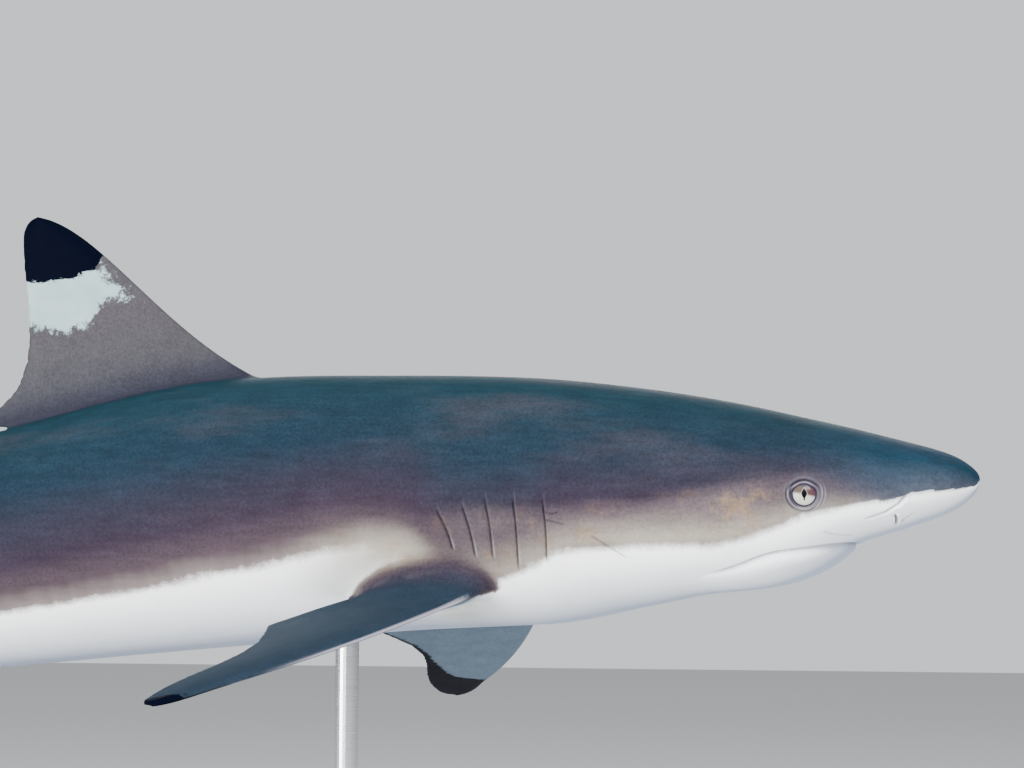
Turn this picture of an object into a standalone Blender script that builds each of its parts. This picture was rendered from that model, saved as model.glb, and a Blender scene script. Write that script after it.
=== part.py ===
"""Life-size display model of an adult blacktip reef shark, held over a flat stand.

Proportions are in hundredths of the total length, as ichthyologists give them, and the
functions that place a point turn them into metres. A place on the animal is given by
three such numbers: how far back it lies along the spine from the snout tip, how far to
the animal's right, and how far up. The spine itself bends, so the pose is all in
`spine_angles`.

World frame: metres, +Z up, the head toward +X, the animal's right side toward -Y, and
the origin at the centre of the underside of the stand's base.
"""

import math

import bpy
import numpy as np

# ---- driving dimensions -------------------------------------------------------------

TOTAL_LENGTH = 1.40  # m, snout tip to the tip of the upper caudal lobe, along the body
PERCENT = TOTAL_LENGTH / 100
SNOUT_TIP = (0.50, 0.006, 0.40)  # m, above the underside of the base
GAP = 0.0003  # m, between pieces that touch

# Where the body is parted, along the spine.
HEAD_END = 15.3
GILLS_END = 26.2
FRONT_TRUNK_END = 43.9
REAR_TRUNK_END = 58.6
TAIL_STEM_END = 73.6

# Body sections along the spine: how far back, top, bottom, level of the widest point,
# half width, and the exponents of the upper and lower halves (2 is an ellipse, more is
# squarer).
SECTIONS = np.array(
    [
        (0.0, 0.00, 0.00, 0.00, 0.00, 2.0, 2.0),  # snout tip
        (0.3, 0.33, -0.36, -0.02, 1.20, 2.0, 2.0),
        (1.0, 0.66, -0.85, -0.10, 2.15, 2.1, 2.2),
        (3.0, 1.46, -1.72, -0.35, 3.40, 2.2, 2.6),  # nostrils
        (4.9, 2.05, -2.30, -0.65, 4.02, 2.2, 2.9),
        (5.3, 2.17, -2.72, -0.70, 4.10, 2.2, 2.9),  # front of the lower jaw
        (7.0, 2.62, -3.60, -0.95, 4.45, 2.1, 3.1),  # eyes
        (10.0, 3.42, -4.12, -1.20, 4.90, 2.1, 3.0),  # corners of the mouth
        (14.0, 4.18, -4.85, -1.20, 5.25, 2.1, 2.7),
        (18.0, 4.78, -5.50, -1.05, 5.45, 2.1, 2.5),  # gills
        (24.0, 5.27, -5.52, -0.80, 5.65, 2.1, 2.3),  # rear of the pectoral bases
        (32.0, 5.72, -5.72, -0.40, 5.65, 2.1, 2.2),  # front of the first dorsal
        (42.0, 4.82, -5.52, -0.20, 5.05, 2.1, 2.1),
        (52.0, 4.10, -4.45, 0.00, 4.05, 2.1, 2.1),  # rear of the pelvic bases
        (62.0, 3.15, -3.15, 0.00, 2.80, 2.1, 2.1),  # second dorsal and anal
        (70.0, 2.20, -2.05, 0.00, 1.90, 2.1, 2.1),
        (74.0, 1.90, -1.80, 0.05, 1.50, 2.1, 2.1),  # root of the tail fin
    ]
)
POINTS_ROUND = 36

# Mouth, seen from below: a broad arch that meets the throat at its corners.
MOUTH_FRONT = 5.0
MOUTH_WIDEST = 8.7
MOUTH_HALF_WIDTH = 4.05
MOUTH_REAR = 10.15
MOUTH_ARCH_EXPONENT = 2.3
LIP_GAP = 0.0008  # m

# Eye: a ball longer and taller than it is deep, sunk in the side of the head.
EYE_PLACE = (6.3, 3.76, -0.53)
EYE_RADII = (0.78, 0.55, 0.78)  # along, out of and up the head

# Gill slits, front to rear: the top and bottom ends as (how far back, height).
GILL_SLITS = [
    ((16.70, -0.42), (16.64, -3.15)),
    ((17.93, -0.27), (17.84, -3.35)),
    ((19.10, -0.29), (18.86, -2.90)),
    ((20.06, -0.55), (19.55, -2.80)),
    ((21.11, -0.74), (20.48, -2.46)),
]
GILL_SLIT_WIDTH = 0.0014  # m
GILL_SLIT_DEPTH = 0.006  # m

# Stand.
BASE_SIZE = (0.66, 0.28, 0.018)  # m
BASE_EDGE_RADIUS = 0.003
ROD_RADIUS = 0.007
ROD_SOCKET_DEPTH = 0.018
ROD_STATIONS = {"front": 27.0, "rear": 48.5}  # along the spine


# ---- spine and body surface -----------------------------------------------------------


def ease(at, start, end):
    """0 before start, 1 after end, and a smooth rise between them."""
    t = np.clip((at - start) / (end - start), 0, 1)
    return t * t * (3 - 2 * t)


def spine_angles(at):
    """Nose-up pitch and sideways turn of the spine, in radians.

    The head is level, the trunk slopes down to the rear, the tail swings gently away to
    the left, and the tail fin's axis turns up.
    """
    pitch = 1.4 + 6.6 * ease(at, 16, 46) - 6 * ease(at, 46, 70) - 36 * ease(at, 69, 80)
    turn = 3.8 * ease(at, 0, 44) - 9 * ease(at, 44, 72) - 10 * ease(at, 62, 96)
    return np.radians(pitch), np.radians(turn)


def spine_axes(at):
    """Unit vectors forward, to the animal's right and up, at these stations."""
    pitch, turn = spine_angles(np.asarray(at, float))
    forward = np.stack(
        [np.cos(pitch) * np.cos(turn), np.cos(pitch) * np.sin(turn), np.sin(pitch)], -1
    )
    up = np.stack(
        [-np.sin(pitch) * np.cos(turn), -np.sin(pitch) * np.sin(turn), np.cos(pitch)], -1
    )
    return forward, np.cross(forward, up), up


SPINE_STEPS = np.linspace(0, 100, 2001)
STEP_BACK = -spine_axes(SPINE_STEPS)[0] * (SPINE_STEPS[1] - SPINE_STEPS[0])
SPINE_LINE = np.concatenate(
    [np.zeros((1, 3)), np.cumsum((STEP_BACK[1:] + STEP_BACK[:-1]) / 2, axis=0)]
)


def place(at, right, up):
    """World points, in metres, from distances along, to the right of and above the spine."""
    at, right, up = np.broadcast_arrays(*(np.asarray(v, float) for v in (at, right, up)))
    middle = np.stack([np.interp(at, SPINE_STEPS, SPINE_LINE[:, k]) for k in range(3)], -1)
    _, right_axis, up_axis = spine_axes(at)
    point = middle + right_axis * right[..., None] + up_axis * up[..., None]
    return point * PERCENT + np.array(SNOUT_TIP)


def smooth_through(at, stations, values):
    """A curve through the stations with no overshoot between them (monotone cubic)."""
    step = np.diff(stations)
    slope = np.diff(values) / step
    before, after = 2 * step[1:] + step[:-1], step[1:] + 2 * step[:-1]
    rising = slope[:-1] * slope[1:] > 0
    safe = np.where(rising[:, None], np.stack([slope[:-1], slope[1:]], 1), 1.0)
    mean = (before + after) / (before / safe[:, 0] + after / safe[:, 1])
    tangent = np.concatenate([slope[:1], np.where(rising, mean, 0), slope[-1:]])
    i = np.clip(np.searchsorted(stations, at) - 1, 0, len(step) - 1)
    t = (at - stations[i]) / step[i]
    return (
        (2 * t**3 - 3 * t**2 + 1) * values[i]
        + (t**3 - 2 * t**2 + t) * step[i] * tangent[i]
        + (3 * t**2 - 2 * t**3) * values[i + 1]
        + (t**3 - t**2) * step[i] * tangent[i + 1]
    )


def body_profile(at):
    """Top, bottom, widest level, half width and exponents; the root makes the tip round."""
    root = np.sqrt(np.maximum(at, 0))
    stations = np.sqrt(SECTIONS[:, 0])
    return [smooth_through(root, stations, SECTIONS[:, k]) for k in range(1, 7)]


def power(value, exponent):
    return np.sign(value) * np.abs(value) ** exponent


def body_section(at, angle):
    """Distances to the right and up of the skin; the angle runs from the top to the right."""
    top, bottom, middle, half_width, upper, lower = body_profile(at)
    across, along = np.sin(angle), np.cos(angle)
    exponent = 2 / np.where(along > 0, upper, lower)
    height = np.where(along > 0, top - middle, middle - bottom)
    return half_width * power(across, exponent), middle + height * power(along, exponent)


def skin_height(at, right, below=True):
    """Height of the skin on the belly, or on the back, at this distance to the right."""
    top, bottom, middle, half_width, upper, lower = body_profile(np.asarray(at, float))
    exponent, end = (lower, bottom) if below else (upper, top)
    share = np.clip(1 - np.abs(right / half_width) ** exponent, 0, 1) ** (1 / exponent)
    return float(middle + (end - middle) * share)


def skin_side(at, up):
    """How far out the flank lies at this height."""
    top, bottom, middle, half_width, upper, lower = body_profile(np.asarray(at, float))
    exponent, end = (upper, top) if up > middle else (lower, bottom)
    share = 1 - np.abs((up - middle) / (end - middle)) ** exponent
    return float(half_width * share ** (1 / exponent))


def body_ring(at, grow=0.0):
    """One section of the body as world points, grown outward by some metres."""
    angle = np.linspace(0, 2 * math.pi, POINTS_ROUND, endpoint=False)
    right, up = body_section(np.full(POINTS_ROUND, float(at)), angle)
    if grow:
        out = np.stack([np.roll(up, 1) - np.roll(up, -1), np.roll(right, -1) - np.roll(right, 1)])
        out /= np.linalg.norm(out, axis=0)
        right, up = right + out[0] * grow / PERCENT, up + out[1] * grow / PERCENT
    return place(at, right, up)


# ---- meshes -----------------------------------------------------------------------------


def clear_scene():
    for obj in list(bpy.data.objects):
        bpy.data.objects.remove(obj)


def material(name, colour, roughness=0.5, metallic=0.0):
    made = bpy.data.materials.get(name) or bpy.data.materials.new(name)
    made.use_nodes = True
    made.diffuse_color = (*colour, 1)
    shader = made.node_tree.nodes["Principled BSDF"]
    shader.inputs["Base Color"].default_value = (*colour, 1)
    shader.inputs["Roughness"].default_value = roughness
    shader.inputs["Metallic"].default_value = metallic
    return made


def skin_back():
    return material("skin_back", (0.040, 0.090, 0.130), 0.45)


def skin_fin():
    return material("skin_fin", (0.180, 0.185, 0.185), 0.5)


def skin_belly():
    return material("skin_belly", (0.68, 0.74, 0.77), 0.45)


def eye_glass():
    return material("eye_glass", (0.33, 0.34, 0.27), 0.08)


def stand_lacquer():
    return material("stand_lacquer", (0.10, 0.10, 0.105), 0.4)


def stand_steel():
    return material("stand_steel", (0.62, 0.63, 0.65), 0.3, 1.0)


def add_mesh(name, points, faces, finish, smooth=True):
    mesh = bpy.data.meshes.new(name)
    mesh.from_pydata([tuple(map(float, p)) for p in points], [], faces)
    mesh.materials.append(finish)
    mesh.polygons.foreach_set("use_smooth", [smooth] * len(mesh.polygons))
    obj = bpy.data.objects.new(name, mesh)
    bpy.context.scene.collection.objects.link(obj)
    return obj


def loft(name, rings, finish, tip=None):
    """A closed solid through rings of points, from a flat end or a tip to a flat end."""
    count = len(rings[0])
    points = [p for ring in rings for p in ring]
    faces = []
    for row in range(len(rings) - 1):
        for k in range(count):
            a, b = row * count + k, row * count + (k + 1) % count
            faces += [(a, b, b + count), (a, b + count, a + count)]
    last = len(rings) - 1
    faces.append([last * count + k for k in range(count)])
    if tip is None:
        faces.append([k for k in reversed(range(count))])
    else:
        points.append(tip)
        faces += [(len(points) - 1, (k + 1) % count, k) for k in range(count)]
    obj = add_mesh(name, points, faces, finish)
    face_outward(obj)
    return obj


def face_outward(obj):
    """Turns a closed mesh's faces out, by the sign of its volume."""
    mesh = obj.data
    mesh.calc_loop_triangles()
    volume = sum(
        mesh.vertices[a].co.dot(mesh.vertices[b].co.cross(mesh.vertices[c].co))
        for a, b, c in (t.vertices for t in mesh.loop_triangles)
    )
    if volume < 0:
        mesh.flip_normals()


def as_cutter(obj):
    obj.hide_render = True
    obj.display_type = "WIRE"
    return obj


def boolean(obj, other, operation="DIFFERENCE"):
    cut = obj.modifiers.new(f"{operation.lower()}_{other.name}", "BOOLEAN")
    cut.operation = operation
    cut.object = other
    cut.solver = "EXACT"


# ---- body --------------------------------------------------------------------------------


def stations_between(start, end, count):
    """Stations spaced more closely toward the snout."""
    return np.linspace(math.sqrt(start), math.sqrt(end), count) ** 2


def body_length(name, start, end, count, finish):
    """A length of the body between two flat cuts, half a gap inside each of them."""
    half_gap = GAP / 2 / PERCENT
    stations = stations_between(start + half_gap, end - half_gap, count)
    return loft(name, [body_ring(at) for at in stations], finish)


def body_cutter():
    """The whole body grown by the gap, which fins are cut with."""
    stations = np.concatenate(
        [
            stations_between(0.5, HEAD_END, 14),
            np.linspace(HEAD_END, REAR_TRUNK_END, 26)[1:],
            np.linspace(REAR_TRUNK_END, TAIL_STEM_END + 2, 8)[1:],
        ]
    )
    rings = [body_ring(at, GAP) for at in stations]
    return as_cutter(loft("cutter_body", rings, skin_back()))


def head_solid(name, finish):
    """The front of the body, from the rounded snout tip to the cut ahead of the gills."""
    stations = stations_between(0.05, HEAD_END - GAP / 2 / PERCENT, 19)
    return loft(name, [body_ring(at) for at in stations], finish, tip=place(0, 0, 0))


def mouth_outline(inset):
    """The mouth's arch in plan, as (how far back, to the right), shrunk by some metres."""
    inset /= PERCENT
    angles = np.linspace(-math.pi / 2, math.pi / 2, 15)
    depth = MOUTH_WIDEST - MOUTH_FRONT - inset
    exponent = 2 / MOUTH_ARCH_EXPONENT
    arch = [
        (
            MOUTH_WIDEST - depth * power(math.cos(a), exponent),
            (MOUTH_HALF_WIDTH - inset) * power(math.sin(a), exponent),
        )
        for a in angles
    ]
    rear = MOUTH_REAR - inset
    return [(rear, -MOUTH_HALF_WIDTH + inset)] + arch + [(rear, MOUTH_HALF_WIDTH - inset)]


def jaw_block(name, inset):
    """An upright block with the mouth's plan; its roof slopes down to the rear."""
    plan = mouth_outline(inset)
    roof = [place(at, right, -1.55 - 0.16 * (at - MOUTH_FRONT) - inset / PERCENT) for at, right in plan]
    floor = [place(at, right, -7.0) for at, right in plan]
    return loft(name, [floor, roof], skin_belly())


def add_head():
    head = head_solid("head", skin_back())
    boolean(head, as_cutter(jaw_block("cutter_mouth", 0.0)))
    for side in (1, -1):
        name = "right" if side > 0 else "left"
        boolean(head, as_cutter(eyeball(f"cutter_eye_{name}", side, GAP)))


def add_lower_jaw():
    jaw = head_solid("lower_jaw", skin_belly())
    boolean(jaw, as_cutter(jaw_block("keep_jaw", LIP_GAP)), "INTERSECT")


def eyeball(name, side, grow=0.0):
    """An ellipsoid in the side of the head, its axes along, out of and up the head."""
    forward, right_axis, up_axis = spine_axes(EYE_PLACE[0])
    centre = place(EYE_PLACE[0], side * EYE_PLACE[1], EYE_PLACE[2])
    radii = [r * PERCENT + grow for r in EYE_RADII]
    rings, count = 7, 14
    rows = []
    for i in range(1, rings):
        fall = math.pi * i / rings
        ring = []
        for k in range(count):
            turn = 2 * math.pi * k / count
            ring.append(
                centre
                + forward * radii[0] * math.sin(fall) * math.cos(turn)
                + right_axis * radii[1] * math.cos(fall)
                + up_axis * radii[2] * math.sin(fall) * math.sin(turn)
            )
        rows.append(ring)
    points = [p for ring in rows for p in ring]
    points += [centre + right_axis * radii[1], centre - right_axis * radii[1]]
    faces = [(len(points) - 2, k, (k + 1) % count) for k in range(count)]
    for row in range(len(rows) - 1):
        for k in range(count):
            a, b = row * count + k, row * count + (k + 1) % count
            faces.append((a, a + count, b + count, b))
    base = (len(rows) - 1) * count
    faces += [(len(points) - 1, base + (k + 1) % count, base + k) for k in range(count)]
    obj = add_mesh(name, points, faces, eye_glass())
    face_outward(obj)
    return obj


def gill_cutter(name, ends, side):
    """A thin plate that stands on edge through the flank, along one slit."""
    (top_at, top_up), (low_at, low_up) = ends
    middle_at, middle_up = (top_at + low_at) / 2, (top_up + low_up) / 2
    top = place(top_at, side * skin_side(top_at, top_up), top_up)
    low = place(low_at, side * skin_side(low_at, low_up), low_up)
    out = place(middle_at, side * (skin_side(middle_at, middle_up) + 1), middle_up)
    out = out - place(middle_at, side * skin_side(middle_at, middle_up), middle_up)
    out /= np.linalg.norm(out)
    across = np.cross(out, top - low)
    across *= GILL_SLIT_WIDTH / 2 / np.linalg.norm(across)
    corners = []
    for depth in (-GILL_SLIT_DEPTH, 0.012):
        ring = [low - across, low + across, top + across, top - across]
        corners.append([p + out * depth for p in ring])
    return as_cutter(loft(name, corners, skin_back()))


def add_gill_region():
    region = body_length("gill_region", HEAD_END, GILLS_END, 9, skin_back())
    for side, name in ((1, "right"), (-1, "left")):
        for number, ends in enumerate(GILL_SLITS, 1):
            boolean(region, gill_cutter(f"cutter_gill_{number}_{name}", ends, side))


def add_trunk_and_tail_stem():
    front = body_length("trunk_front", GILLS_END, FRONT_TRUNK_END, 10, skin_back())
    rear = body_length("trunk_rear", FRONT_TRUNK_END, REAR_TRUNK_END, 8, skin_back())
    body_length("tail_stem", REAR_TRUNK_END, TAIL_STEM_END, 8, skin_back())
    for trunk, which in ((front, "front"), (rear, "rear")):
        boolean(trunk, as_cutter(rod(f"cutter_rod_{which}", which, GAP)))


# ---- fins --------------------------------------------------------------------------------


def bezier(controls, t):
    a, b, c, d = (np.asarray(p, float) for p in controls)
    t = np.asarray(t, float)[:, None]
    return a * (1 - t) ** 3 + 3 * b * t * (1 - t) ** 2 + 3 * c * t**2 * (1 - t) + d * t**3


def fin_rows(leading, inner, trailing, rows, rear_tip_at):
    """Pairs of points across a fin, from its base to its apex.

    The leading margin is one curve. The other side runs along the inner margin to the
    free rear tip, then along the trailing margin to the apex.
    """
    t = np.concatenate([np.linspace(0, rear_tip_at, 3)[:-1], np.linspace(rear_tip_at, 1, rows)])
    inner_t = np.clip(t / rear_tip_at, 0, 1)
    trailing_t = np.clip((t - rear_tip_at) / (1 - rear_tip_at), 0, 1)
    behind = np.where((t < rear_tip_at)[:, None], bezier(inner, inner_t), bezier(trailing, trailing_t))
    return t, bezier(leading, t), behind


def fin(name, outline, thickness, to_world, finish, cutter, rows=9, columns=8):
    """A blade with a round leading edge and a thin trailing edge, cut clear of the body.

    thickness is (half thickness at the base, at the apex, at the trailing edge, and
    what the base swells by where it joins the body).
    """
    leading, inner, trailing, rear_tip_at = outline
    t, front, behind = fin_rows(leading, inner, trailing, rows, rear_tip_at)
    share = (1 - np.cos(np.linspace(0, math.pi, columns + 1))) / 2
    bulge = np.sqrt(share) * (1 - share) / 0.385
    base_half, apex_half, edge_half, swell = thickness
    rings = []
    for i in range(len(t)):
        across = front[i] + (behind[i] - front[i]) * share[:, None]
        base_swell = swell * (1 - float(ease(front[i, 1], 0.0, 3.5)))
        half = (base_half + base_swell + (apex_half - base_half) * t[i] ** 0.8) * bulge
        half += edge_half * np.minimum(1, share * 8)
        one = to_world(across[:, 0], across[:, 1], half)
        other = to_world(across[:, 0], across[:, 1], -half)
        rings.append(np.concatenate([one, other[:0:-1]]))
    blade = loft(name, rings, finish)
    boolean(blade, cutter)
    return blade


def in_middle_plane(at, up, out):
    """A median fin's points: along and above the spine, half thickness to the side."""
    return place(at, out, up)


def add_median_fins(cutter):
    first_dorsal = (
        [(29.9, 4.3), (33.8, 8.8), (37.0, 13.3), (39.7, 14.08)],
        [(40.2, 3.6), (40.7, 4.7), (41.6, 5.0), (43.5, 5.35)],
        [(43.5, 5.45), (40.1, 6.4), (40.4, 11.0), (39.95, 13.9)],
        0.10,
    )
    fin("first_dorsal_fin", first_dorsal, (0.50, 0.10, 0.035, 0.0), in_middle_plane, skin_fin(), cutter, 10)
    second_dorsal = (
        [(61.2, 2.2), (63.6, 4.4), (65.4, 6.4), (66.9, 6.7)],
        [(65.6, 1.6), (66.6, 2.6), (68.0, 3.0), (70.4, 2.95)],
        [(70.4, 3.05), (68.0, 3.6), (67.6, 5.3), (67.2, 6.6)],
        0.20,
    )
    fin("second_dorsal_fin", second_dorsal, (0.28, 0.07, 0.03, 0.0), in_middle_plane, skin_fin(), cutter, 6, 6)
    anal = (
        [(61.6, -2.2), (63.6, -4.3), (65.3, -6.6), (66.9, -7.3)],
        [(65.8, -1.6), (66.6, -2.5), (68.0, -2.9), (70.4, -3.0)],
        [(70.4, -3.1), (67.4, -3.7), (67.6, -5.6), (67.25, -7.2)],
        0.20,
    )
    fin("anal_fin", anal, (0.26, 0.07, 0.03, 0.0), in_middle_plane, skin_fin(), cutter, 6, 6)


def tilted_plane(root, side, droop, pitch, sweep):
    """Maps a paired fin's plane into the world.

    root is the front of the base. The droop tips the span down, the pitch turns the
    trailing edge down and the sweep turns the span back, all in degrees.
    """
    forward, right_axis, up_axis = spine_axes(root[0])
    droop, pitch, sweep = (math.radians(a) for a in (droop, pitch, sweep))
    outward = right_axis * side
    span = outward * math.cos(droop) - up_axis * math.sin(droop)
    upper = up_axis * math.cos(droop) + outward * math.sin(droop)
    chord = -forward * math.cos(pitch) - upper * math.sin(pitch)
    normal = upper * math.cos(pitch) - forward * math.sin(pitch)
    back = chord * math.cos(sweep) - span * math.sin(sweep)
    out = span * math.cos(sweep) + chord * math.sin(sweep)
    start = place(root[0], root[1] * side, root[2])

    def to_world(along, across, half):
        along, across, half = (np.asarray(v, float)[:, None] for v in (along, across, half))
        return start + (back * along + out * across + normal * half * side) * PERCENT

    return to_world


def add_paired_fins(cutter):
    pectoral = (
        [(-0.3, -2.2), (1.0, 4.58), (4.77, 15.57), (7.35, 15.42)],
        [(4.7, -2.2), (5.2, 0.2), (6.7, 2.0), (8.4, 2.97)],
        [(8.4, 2.97), (6.29, 7.15), (8.75, 12.4), (7.65, 15.25)],
        0.16,
    )
    pelvic = (
        [(-0.2, -1.6), (1.0, 1.6), (2.6, 4.6), (4.6, 5.3)],
        [(4.2, -1.4), (4.8, 0.0), (5.6, 0.9), (7.3, 1.9)],
        [(7.3, 1.9), (6.0, 2.9), (5.4, 4.0), (4.9, 5.2)],
        0.22,
    )
    for side, name, droop, pitch, sweep in (
        (1, "right", 13.0, 4.9, 5.0),
        (-1, "left", 15.2, 5.5, 4.2),
    ):
        plane = tilted_plane((19.26, 4.29, -3.97), side, droop, pitch, sweep)
        fin(f"pectoral_fin_{name}", pectoral, (0.55, 0.12, 0.035, 0.35), plane, skin_fin(), cutter, 10)
        plane = tilted_plane((47.3, 2.9, -3.95), side, 38.0, 3.0, 10.0)
        fin(f"pelvic_fin_{name}", pelvic, (0.28, 0.07, 0.03, 0.1), plane, skin_fin(), cutter, 5, 6)


# Upper lobe of the tail fin: the body's axis runs on near its upper margin, and a blade
# hangs below it. How far back, upper margin, lower margin of the blade, and half
# thickness of the axis.
UPPER_LOBE = np.array(
    [
        (73.6, 1.92, -1.82, 1.50),
        (76.0, 1.75, -2.15, 1.10),
        (79.0, 1.60, -3.20, 0.85),
        (83.0, 1.40, -3.95, 0.65),
        (88.0, 1.15, -3.20, 0.48),
        (92.0, 0.95, -2.50, 0.36),
        (95.3, 0.80, -1.70, 0.27),  # notch below the terminal lobe
        (96.6, 0.74, -2.60, 0.22),
        (98.4, 0.60, -2.10, 0.16),
        (100.0, 0.25, -0.35, 0.08),
    ]
)
BLADE_EDGE = 0.05


def caudal_ring(at, grow=0.0):
    """A tall thin section, grown outward by some metres.

    The axis bulges near the top, and the blade thins below it.
    """
    top, bottom, half = (
        float(np.interp(at, UPPER_LOBE[:, 0], UPPER_LOBE[:, k])) for k in (1, 2, 3)
    )
    axis_bottom = max(bottom, min(-1.85 + 0.085 * (at - 73.6), top - 2.2 * half))
    blend = float(ease(at, 73.6, 77.0))
    heights, widths = [top], [0.0]
    for share in (0.08, 0.25, 0.5, 0.75, 0.92):
        heights.append(top + (axis_bottom - top) * share)
        widths.append(half * (1 - abs(2 * share - 1) ** 2.1) ** (1 / 2.1))
    for share in (0.15, 0.5, 0.85):
        heights.append(axis_bottom + (bottom - axis_bottom) * share)
        widths.append(max(BLADE_EDGE, (0.30 - 0.22 * share) * half * blend))
    heights.append(bottom)
    widths.append(0.0)
    widths[1:-1] = [max(w, BLADE_EDGE) + grow / PERCENT for w in widths[1:-1]]
    heights[0] += grow / PERCENT
    heights[-1] -= grow / PERCENT
    right = np.array(widths + [-w for w in widths[-2:0:-1]])
    up = np.array(heights + heights[-2:0:-1])
    return place(at, right, up)


def add_tail_fin():
    start = TAIL_STEM_END + GAP / 2 / PERCENT
    stations = [start, 74.6, 76, 77.5, 79, 81, 83, 85.5, 88, 90, 92, 94, 95.3, 96.0, 96.6, 98.4, 99.3, 100]
    upper = loft("caudal_fin_upper", [caudal_ring(at) for at in stations], skin_fin())
    grown = [caudal_ring(at, 1.3 * GAP) for at in stations]
    cutter = as_cutter(loft("cutter_caudal", grown, skin_fin()))
    lower = (
        [(75.0, -1.0), (76.4, -5.5), (79.3, -11.0), (82.3, -12.6)],
        [(83.2, -2.5), (83.6, -3.1), (84.0, -3.7), (84.3, -4.2)],
        [(84.3, -4.4), (82.0, -6.0), (81.9, -9.6), (82.6, -12.4)],
        0.20,
    )
    blade = fin("caudal_fin_lower", lower, (0.42, 0.08, 0.03, 0.0), in_middle_plane, skin_fin(), cutter, 8, 7)
    boolean(blade, bpy.data.objects["cutter_tail_stem"])
    return upper


def tail_stem_cutter():
    """The end of the tail stem grown by the gap, which the lower tail lobe is cut with."""
    stations = [68, 70, 72, TAIL_STEM_END + GAP / PERCENT]
    rings = [body_ring(at, GAP) for at in stations]
    return as_cutter(loft("cutter_tail_stem", rings, skin_back()))


# ---- stand -------------------------------------------------------------------------------


def rod(name, which, grow=0.0):
    """An upright rod from the top of the base into its socket in the belly."""
    at = ROD_STATIONS[which]
    foot = place(at, 0.0, skin_height(at, 0.0))
    low = BASE_SIZE[2] + GAP if not grow else BASE_SIZE[2] + 0.05
    high = foot[2] + ROD_SOCKET_DEPTH + grow
    angles = np.linspace(0, 2 * math.pi, 24, endpoint=False)
    circle = np.stack([np.cos(angles), np.sin(angles)], 1) * (ROD_RADIUS + grow)
    rings = [
        np.column_stack([circle + foot[:2], np.full(24, level)]) for level in (low, high)
    ]
    return loft(name, rings, stand_steel())


def add_stand():
    bpy.ops.mesh.primitive_cube_add(size=1, location=(0, 0, BASE_SIZE[2] / 2))
    base = bpy.context.object
    base.name = "stand_base"
    base.scale = BASE_SIZE
    bpy.ops.object.transform_apply(location=False, rotation=False, scale=True)
    base.data.materials.append(stand_lacquer())
    bevel = base.modifiers.new("eased_edges", "BEVEL")
    bevel.width = BASE_EDGE_RADIUS
    bevel.segments = 2
    for which in ROD_STATIONS:
        rod(f"stand_rod_{which}", which)


def main():
    clear_scene()
    add_head()
    add_lower_jaw()
    eyeball("eye_right", 1)
    eyeball("eye_left", -1)
    add_gill_region()
    add_trunk_and_tail_stem()
    cutter = body_cutter()
    add_median_fins(cutter)
    add_paired_fins(cutter)
    tail_stem_cutter()
    add_tail_fin()
    add_stand()


main()
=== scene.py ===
"""Looks for the blacktip reef shark display model: skin, eyes, stand and a studio stage.

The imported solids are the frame, and nothing here moves or resizes them. One skin stands
for all the nodes of flesh. It is grown from the same named proportions as the solids, in
hundredths of the total length, as ichthyologists give them: how far back from the snout
tip, how far to the animal's right and how far up. The skin is made straight, where the
animal is symmetric, and then laid along the bent spine.
"""

import math

import bmesh
import bpy
import numpy as np
from mathutils import Matrix, Vector, kdtree
from mathutils.bvhtree import BVHTree


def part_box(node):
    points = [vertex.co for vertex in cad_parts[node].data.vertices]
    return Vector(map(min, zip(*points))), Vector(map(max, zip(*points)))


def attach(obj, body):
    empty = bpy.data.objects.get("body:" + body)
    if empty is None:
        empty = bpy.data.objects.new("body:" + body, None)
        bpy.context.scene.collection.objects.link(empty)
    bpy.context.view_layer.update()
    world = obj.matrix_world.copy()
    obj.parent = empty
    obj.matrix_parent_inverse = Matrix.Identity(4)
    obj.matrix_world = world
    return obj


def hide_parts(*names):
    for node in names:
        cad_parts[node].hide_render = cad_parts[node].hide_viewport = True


bl_info = {
    "name": "Blacktip reef shark display model",
    "version": (1, 0, 0),
    "blender": (4, 5, 0),
    "location": "View3D > Sidebar > Shark",
    "description": "Builds the skin, eyes, stand and stage of a life-size shark model",
    "category": "Add Mesh",
}

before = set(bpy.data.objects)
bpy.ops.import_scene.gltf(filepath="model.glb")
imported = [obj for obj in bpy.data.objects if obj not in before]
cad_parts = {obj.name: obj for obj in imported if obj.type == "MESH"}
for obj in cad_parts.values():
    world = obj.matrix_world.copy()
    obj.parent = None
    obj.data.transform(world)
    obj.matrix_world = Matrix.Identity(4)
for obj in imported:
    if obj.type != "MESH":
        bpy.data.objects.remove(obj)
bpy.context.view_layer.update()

# ---- proportions, in hundredths of the total length ------------------------------------

PERCENT = 1.40 / 100  # m
MM = 0.001 / PERCENT  # a millimetre, in hundredths of the total length
FAR = 99.0  # out of reach of every feature, in millimetres or in hundredths of the length

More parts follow.
